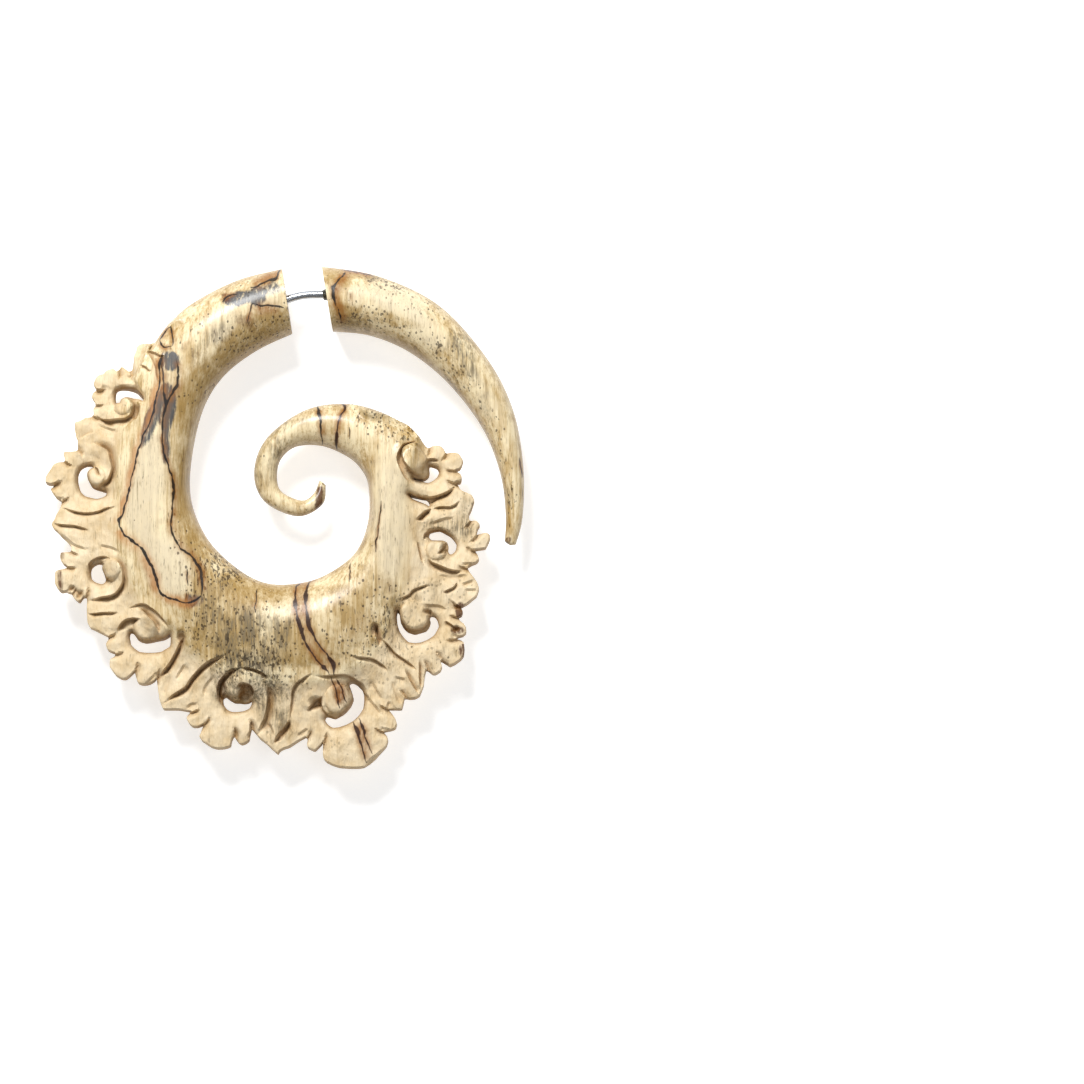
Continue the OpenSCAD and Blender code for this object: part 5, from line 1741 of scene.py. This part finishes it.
    def plan_points(self, loops: Sequence[np.ndarray]) -> np.ndarray:
        """Gathers the plan's points, closest along the outlines, the stains and the carved lines.

        Args:
            loops: The outline and the holes.

        Returns:
            The points, the loops' own first.
        """
        angles = np.linspace(0, math.pi, self.body_angles)
        tube = self.sweep.grid(angles)
        keep = np.ones(tube.shape[:2], bool)
        keep[self.sweep.bordered()] = angles < self.body_share * math.pi
        keep[:, 0] = keep[:, -1] = False
        keep[0] = keep[-1] = False
        crests = [smooth_points(stroke.points, self.crest_pitch) for stroke in STROKES]
        feet = [self.foot_line(crest, stroke) for crest, stroke in zip(crests, STROKES)]
        stains = [line.course() for line in self.markings.lines]
        ledges = [self.inset(self.rim, False), *(self.inset(hole, True) for hole in loops[1:])]
        stains, ledges, lines = (kept_inside(np.vstack(parts), loops)
                                 for parts in (stains, ledges, [*crests, *feet]))
        return thinned([(np.vstack(loops), 0.0), (stains, self.stain_room), (tube[keep][:, :2], CLOSE),
                        (ledges, self.ledge_room), (lines, self.line_room),
                        (self.fill_grid(loops), self.fill_room * self.pitch)])

    def plan(self, loops: Sequence[np.ndarray]) -> tuple[np.ndarray, list[Sequence[int]], np.ndarray]:
        """Joins the plan's points to triangles, and leaves the holes open.

        Args:
            loops: The outline and the holes.

        Returns:
            The points, the triangles, and the number of each point of the loops.
        """
        edges, at = [], 0
        for size in map(len, loops):
            edges += [(at + k, at + (k + 1) % size) for k in range(size)]
            at += size
        points = [Vector(point) for point in self.plan_points(loops).tolist()]
        only_inside = 1
        made, _, faces, origin, _, _ = delaunay_2d_cdt(points, edges, [], only_inside, SMALL)
        plan = np.array([[point.x, point.y] for point in made])
        middles = plan[np.array(faces)].mean(1)
        pierced = np.zeros(len(faces), bool)
        for hole in loops[1:]:
            near = np.all((middles > hole.min(0)) & (middles < hole.max(0)), axis=1)
            pierced[near] |= inside_rows(middles[near], [hole])
        faces = [face for face, gone in zip(faces, pierced) if not gone]
        place = {old: new for new, olds in enumerate(origin) for old in olds}
        LOG.info("plan has %d points and %d faces", len(plan), len(faces))
        return plan, faces, np.array([place[k] for k in range(at)])

    def fill_grid(self, loops: Sequence[np.ndarray]) -> np.ndarray:
        """Covers the carved zone with an even grid.

        Args:
            loops: The outline and the holes.

        Returns:
            The grid's points inside the wood and outside the plain tube.
        """
        low, high = loops[0].min(0), loops[0].max(0)
        levels = np.arange(low[1] + 0.01, high[1], self.pitch * math.sqrt(3) / 2)
        starts = [low[0] + (k % 2) * self.pitch / 2 for k in range(len(levels))]
        rows = [np.arange(start, high[0], self.pitch) for start in starts]
        grid = np.vstack([np.column_stack([row, np.full(len(row), y)]) for row, y in zip(rows, levels)])
        grid = kept_inside(grid, loops)
        _, zone = self.tube_height(grid)
        return grid[zone]

    def inset(self, line: np.ndarray, closed: bool) -> np.ndarray:
        """Moves a line to both sides by the width of the worn edge.

        Args:
            line: The line.
            closed: Whether it comes back to its start.

        Returns:
            The points of both moved lines.
        """
        before = np.roll(line, 1, axis=0) if closed else np.vstack([line[:1], line[:-1]])
        after = np.roll(line, -1, axis=0) if closed else np.vstack([line[1:], line[-1:]])
        normal = left_of(after - before)
        return np.vstack([line + self.bevel * normal, line - self.bevel * normal])

    @staticmethod
    def foot_line(crest: np.ndarray, stroke: Stroke) -> np.ndarray:
        """Gives the line at the foot of a stroke's wall."""
        return crest + stroke.cut.value.wall * (left_of(np.gradient(crest, axis=0)) * stroke.side.value)

    def assemble(self, loops: Sequence[np.ndarray], plan: np.ndarray, faces: Sequence[Sequence[int]],
                 rings: np.ndarray) -> bpy.types.Object:
        """Raises the plan to both faces and closes it with walls.

        Args:
            loops: The outline and the holes.
            plan: The plan's points.
            faces: Its triangles.
            rings: The number of each point of the loops, loop after loop.

        Returns:
            The mesh object.
        """
        relief = self.relief(plan)
        height, carved = relief.height, relief.carved
        on_edge = nearest(plan[rings], np.vstack([self.inner, self.bare])) < CLOSE
        height[rings[on_edge]] = 0
        on_rim = nearest(plan[rings], even_steps(self.rim, CLOSE)) < 0.03
        on_hole = np.arange(len(rings)) >= len(loops[0])
        worn = rings[(on_rim | on_hole) & ~on_edge]
        height[worn] = np.maximum(height[worn] - self.bevel, self.least_edge)
        count = len(plan)
        verts = [np.column_stack([plan, MID_Z + height]), np.column_stack([plan, MID_Z - height])]
        built = [tuple(face) for face in faces] + [tuple(count + v for v in reversed(face)) for face in faces]
        marks, hollow_shades = [carved, carved], [relief.hollow_shade, relief.hollow_shade]
        total, at, shoulder = 2 * count, 0, self.wall_levels[0]
        for size in map(len, loops):
            ring = rings[at:at + size]
            at += size
            tall = height[ring]
            ids = [ring]
            for level in self.wall_levels:
                offset = tall * level
                if abs(level) == shoulder:
                    offset = np.maximum(tall - self.wall_shoulder, tall * shoulder) * np.sign(level)
                verts.append(np.column_stack([plan[ring], MID_Z + offset]))
                marks.append(carved[ring])
                # Carved walls get painted shade.
                hollow_shades.append(np.where(carved[ring] > 0.3, self.wall_shade, 0.0))
                ids.append(np.arange(total, total + size))
                total += size
            ids.append(ring + count)
            for upper, lower in zip(ids[:-1], ids[1:]):
                for k in range(size):
                    n = (k + 1) % size
                    if tall[k] != 0 or tall[n] != 0:
                        built.append((upper[k], lower[k], lower[n], upper[n]))
        obj = new_object("carved_spiral", np.vstack(verts), built)
        store(obj, "carved", np.concatenate(marks))
        store(obj, "hollow_shade", np.concatenate(hollow_shades))
        return obj

    @staticmethod
    def dress() -> bpy.types.Material:
        """Gives the finish of the spiral."""
        return SpaltedWood("spalted_wood_spiral").build(is_carved=True)


@dataclass
class Tusk:
    """The loose outer arm, from its cut face to its point."""

    markings: Markings = TUSK_MARKINGS
    pitch: float = 0.2
    facets: int = 96
    sharp_deg: float = 50.0
    bore_y: float = 28.16
    bore_start: float = 3.0
    bore_end: float = 11.6
    tip_reach: float = 0.35
    tip_shares: tuple[float, ...] = (0.35, 0.7)

    def build(self) -> bpy.types.Object:
        """Builds the tusk with the bore for its post.

        Returns:
            The finished mesh object.
        """
        rings = []
        for section in Sweep(TUSK_ROWS, self.pitch).grid(np.linspace(0, math.pi, self.facets // 2 + 1)):
            top = np.column_stack([section[:, :2], MID_Z + section[:, 2]])
            low = np.column_stack([section[:, :2], MID_Z - section[:, 2]])[1:-1][::-1]
            rings.append(np.vstack([top, low]))
        caps, point = self.end_caps(rings)
        rings += caps
        size, last = len(rings[0]), len(rings) - 1
        steps = [(k, (k + 1) % size) for k in range(size)]
        faces = [(i * size + k, i * size + n, (i + 1) * size + n, (i + 1) * size + k)
                 for i in range(last) for k, n in steps]
        faces.append(tuple(range(size)))
        faces += [(last * size + k, last * size + n, (last + 1) * size) for k, n in steps]
        obj = new_object("tusk_arm", np.vstack([*rings, point]), faces)
        finish_mesh(obj, self.sharp_deg)
        start = (self.bore_start, self.bore_y, MID_Z)
        cut_by(obj, drill("tusk_drill", start, 0, self.bore_end - self.bore_start))
        finish_mesh(obj, self.sharp_deg)
        self.markings.paint(obj)
        report(obj)
        return obj

    def end_caps(self, rings: Sequence[np.ndarray]) -> tuple[list[np.ndarray], np.ndarray]:
        """Rounds the point of the tusk.

        Args:
            rings: Its sections.

        Returns:
            Smaller sections past the last one, and the point.
        """
        last = rings[-1]
        centre = last.mean(0)
        onward = centre - rings[-2].mean(0)
        onward /= np.linalg.norm(onward)
        caps = [centre + (last - centre) * math.cos(share * math.pi / 2) + onward * self.tip_reach * share
                for share in self.tip_shares]
        return caps, centre[None] + onward * self.tip_reach

    @staticmethod
    def dress() -> bpy.types.Material:
        """Gives the finish of the tusk."""
        return SpaltedWood("spalted_wood_tusk").build(is_carved=False)


@dataclass
class Post:
    """The bent steel wire, made by Geometry Nodes along its course."""

    wire_r: float = 0.5
    wire_sides: int = 32
    sharp_deg: float = 50.0
    exit: Point = (0.15, 27.5)
    angle: float = 20.0
    depth: float = 8.1
    straight_out: float = 0.35
    bend_r: float = 9.0
    bend_points: int = 17
    end_x: float = 11.2

    def course(self) -> np.ndarray:
        """Gives the middle line of the wire.

        Returns:
            Its points in millimetres.
        """
        turn = math.radians(self.angle)
        along = np.array([math.cos(turn), math.sin(turn)])
        exit_point = np.array(self.exit)
        start = exit_point - self.depth * along
        bend = exit_point + self.straight_out * along
        centre = bend + self.bend_r * np.array([math.sin(turn), -math.cos(turn)])
        sweep = np.linspace(turn, 0, self.bend_points)
        arc = centre + self.bend_r * np.column_stack([-np.sin(sweep), np.cos(sweep)])
        end = np.array([self.end_x, arc[-1, 1]])
        return np.vstack([start, arc, end])

    def build(self) -> bpy.types.Object:
        """Builds the wire.

        Returns:
            The finished mesh object.
        """
        course = self.course()
        points = [(x * MM, y * MM, MID_Z * MM) for x, y in course]
        mesh = bpy.data.meshes.new("post_course")
        mesh.from_pydata(points, [(k, k + 1) for k in range(len(course) - 1)], [])
        obj = bpy.data.objects.new("steel_post", mesh)
        bpy.context.scene.collection.objects.link(obj)
        modifier = obj.modifiers.new("wire", "NODES")
        modifier.node_group = self.wire_tree(BrushedSteel().build())
        for item in modifier.node_group.interface.items_tree:
            if item.name == "Wire radius":
                modifier[item.identifier] = self.wire_r * MM
        bake(obj)
        finish_mesh(obj, self.sharp_deg)
        return obj

    def wire_tree(self, steel: bpy.types.Material) -> bpy.types.NodeTree:
        """Builds the node tree that turns a course into a round wire.

        Args:
            steel: The wire's finish.

        Returns:
            The node tree.
        """
        group = bpy.data.node_groups.new("wire_along_course", "GeometryNodeTree")
        group.interface.new_socket("Geometry", in_out="INPUT", socket_type="NodeSocketGeometry")
        group.interface.new_socket("Wire radius", in_out="INPUT", socket_type="NodeSocketFloat")
        group.interface.new_socket("Geometry", in_out="OUTPUT", socket_type="NodeSocketGeometry")
        tree = Tree(group)
        start = group.nodes.new("NodeGroupInput")
        course, radius = Field(tree, start.outputs[0]), Field(tree, start.outputs[1])
        line = tree.node("GeometryNodeMeshToCurve", {}, {0: course})
        ring = tree.node("GeometryNodeCurvePrimitiveCircle", {},
                         {"Resolution": self.wire_sides, "Radius": radius})
        wire = tree.node("GeometryNodeCurveToMesh", {},
                         {"Curve": line, "Profile Curve": ring, "Fill Caps": True})
        real = tree.node("GeometryNodeRealizeInstances", {}, {0: wire})
        painted = tree.node("GeometryNodeSetMaterial", {}, {"Geometry": real, "Material": steel})
        end = group.nodes.new("NodeGroupOutput")
        group.links.new(painted.socket, end.inputs[0])
        return group


@dataclass(frozen=True)
class Panel:
    """A square light that shines at the middle of the floor."""

    name: str
    at: tuple[float, float, float]
    size: float
    watts: float

    def hang(self) -> None:
        """Hangs the light."""
        light = bpy.data.lights.new(self.name, "AREA")
        light.size = self.size * MM
        light.energy = self.watts
        obj = bpy.data.objects.new(self.name, light)
        obj.location = Vector(self.at) * MM
        obj.rotation_euler = (-Vector(self.at)).to_track_quat("-Z", "Y").to_euler()
        bpy.context.scene.collection.objects.link(obj)


@dataclass
class Studio:
    """The white floor, the soft lights and the camera over the hanger."""

    floor_half: float = 600.0
    panels: tuple[Panel, ...] = (Panel("key", (-100, 280, 350), 135, 2.5),
                                 Panel("fill", (160, -60, 420), 160, 0.3))
    sky: float = 0.25
    middle: tuple[float, float, float] = (32.25, -3.125, MID_Z)
    frame_width: float = 135.5
    distance: float = 830.0
    elevation: float = 83.0
    film: float = 36.0
    clip_m: tuple[float, float] = (0.05, 5.0)

    def build(self) -> None:
        """Sets up floor, lights and camera."""
        self.floor()
        self.lights()
        self.camera()

    def floor(self) -> None:
        """Lays the white floor."""
        half = self.floor_half
        corners = np.array([[-half, -half, 0], [half, -half, 0], [half, half, 0], [-half, half, 0]])
        floor = new_object("floor", corners, [(0, 1, 2, 3)])
        floor.data.materials.append(WhiteSheet().build())
        floor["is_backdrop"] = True

    def lights(self) -> None:
        """Lights the sky and hangs the soft lights."""
        world = bpy.data.worlds.new("studio")
        bpy.context.scene.world = world
        world.use_nodes = True
        world.node_tree.nodes["Background"].inputs["Color"].default_value = (1, 1, 1, 1)
        world.node_tree.nodes["Background"].inputs["Strength"].default_value = self.sky
        for panel in self.panels:
            panel.hang()
        bpy.context.scene.view_settings.view_transform = "Standard"

    def camera(self) -> None:
        """Sets the camera at the photograph's angle."""
        camera = bpy.data.cameras.new("camera")
        obj = bpy.data.objects.new("camera", camera)
        tilt = math.radians(self.elevation)
        middle = Vector(self.middle) * MM
        obj.location = middle + self.distance * MM * Vector((0, -math.cos(tilt), math.sin(tilt)))
        obj.rotation_euler = (middle - obj.location).to_track_quat("-Z", "Y").to_euler()
        camera.sensor_width = self.film
        camera.lens = camera.sensor_width * self.distance / self.frame_width
        camera.clip_start, camera.clip_end = self.clip_m
        bpy.context.scene.collection.objects.link(obj)
        bpy.context.scene.camera = obj


def finish_with(obj: bpy.types.Object, finish: bpy.types.Material) -> None:
    """Gives a piece its only material."""
    obj.data.materials.clear()
    obj.data.materials.append(finish)


def bounds_list() -> list[list[float]]:
    """Gives the whole object's box as plain numbers."""
    return [[float(value) for value in corner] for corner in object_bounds()]


def main(frame: dict[str, Any], cad_box: list[list[float]]) -> None:
    """Builds and dresses every piece.

    Args:
        cad_box: The CAD model's box, which is not used.
    """
    logging.basicConfig(level=logging.INFO, format="%(message)s")
    Studio().build()
    spiral = CarvedSpiral()
    carving = spiral.build()
    finish_with(carving, spiral.dress())
    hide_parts("spiral")
    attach(carving, "hanger")
    LOG.info("carved spiral built")
    tusk = Tusk()
    arm = tusk.build()
    finish_with(arm, tusk.dress())
    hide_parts("tusk")
    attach(arm, "arm")
    LOG.info("tusk built")
    post = Post().build()
    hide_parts("post")
    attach(post, "arm")
    LOG.info("post built")
    bead = frame["nodes"]["glue_bead"]
    for slot in bead.material_slots:
        slot.material = DarkGlue().build()
    LOG.info("glue bead dressed")


if __name__ == "__main__":
    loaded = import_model()
    main(loaded, bounds_list())
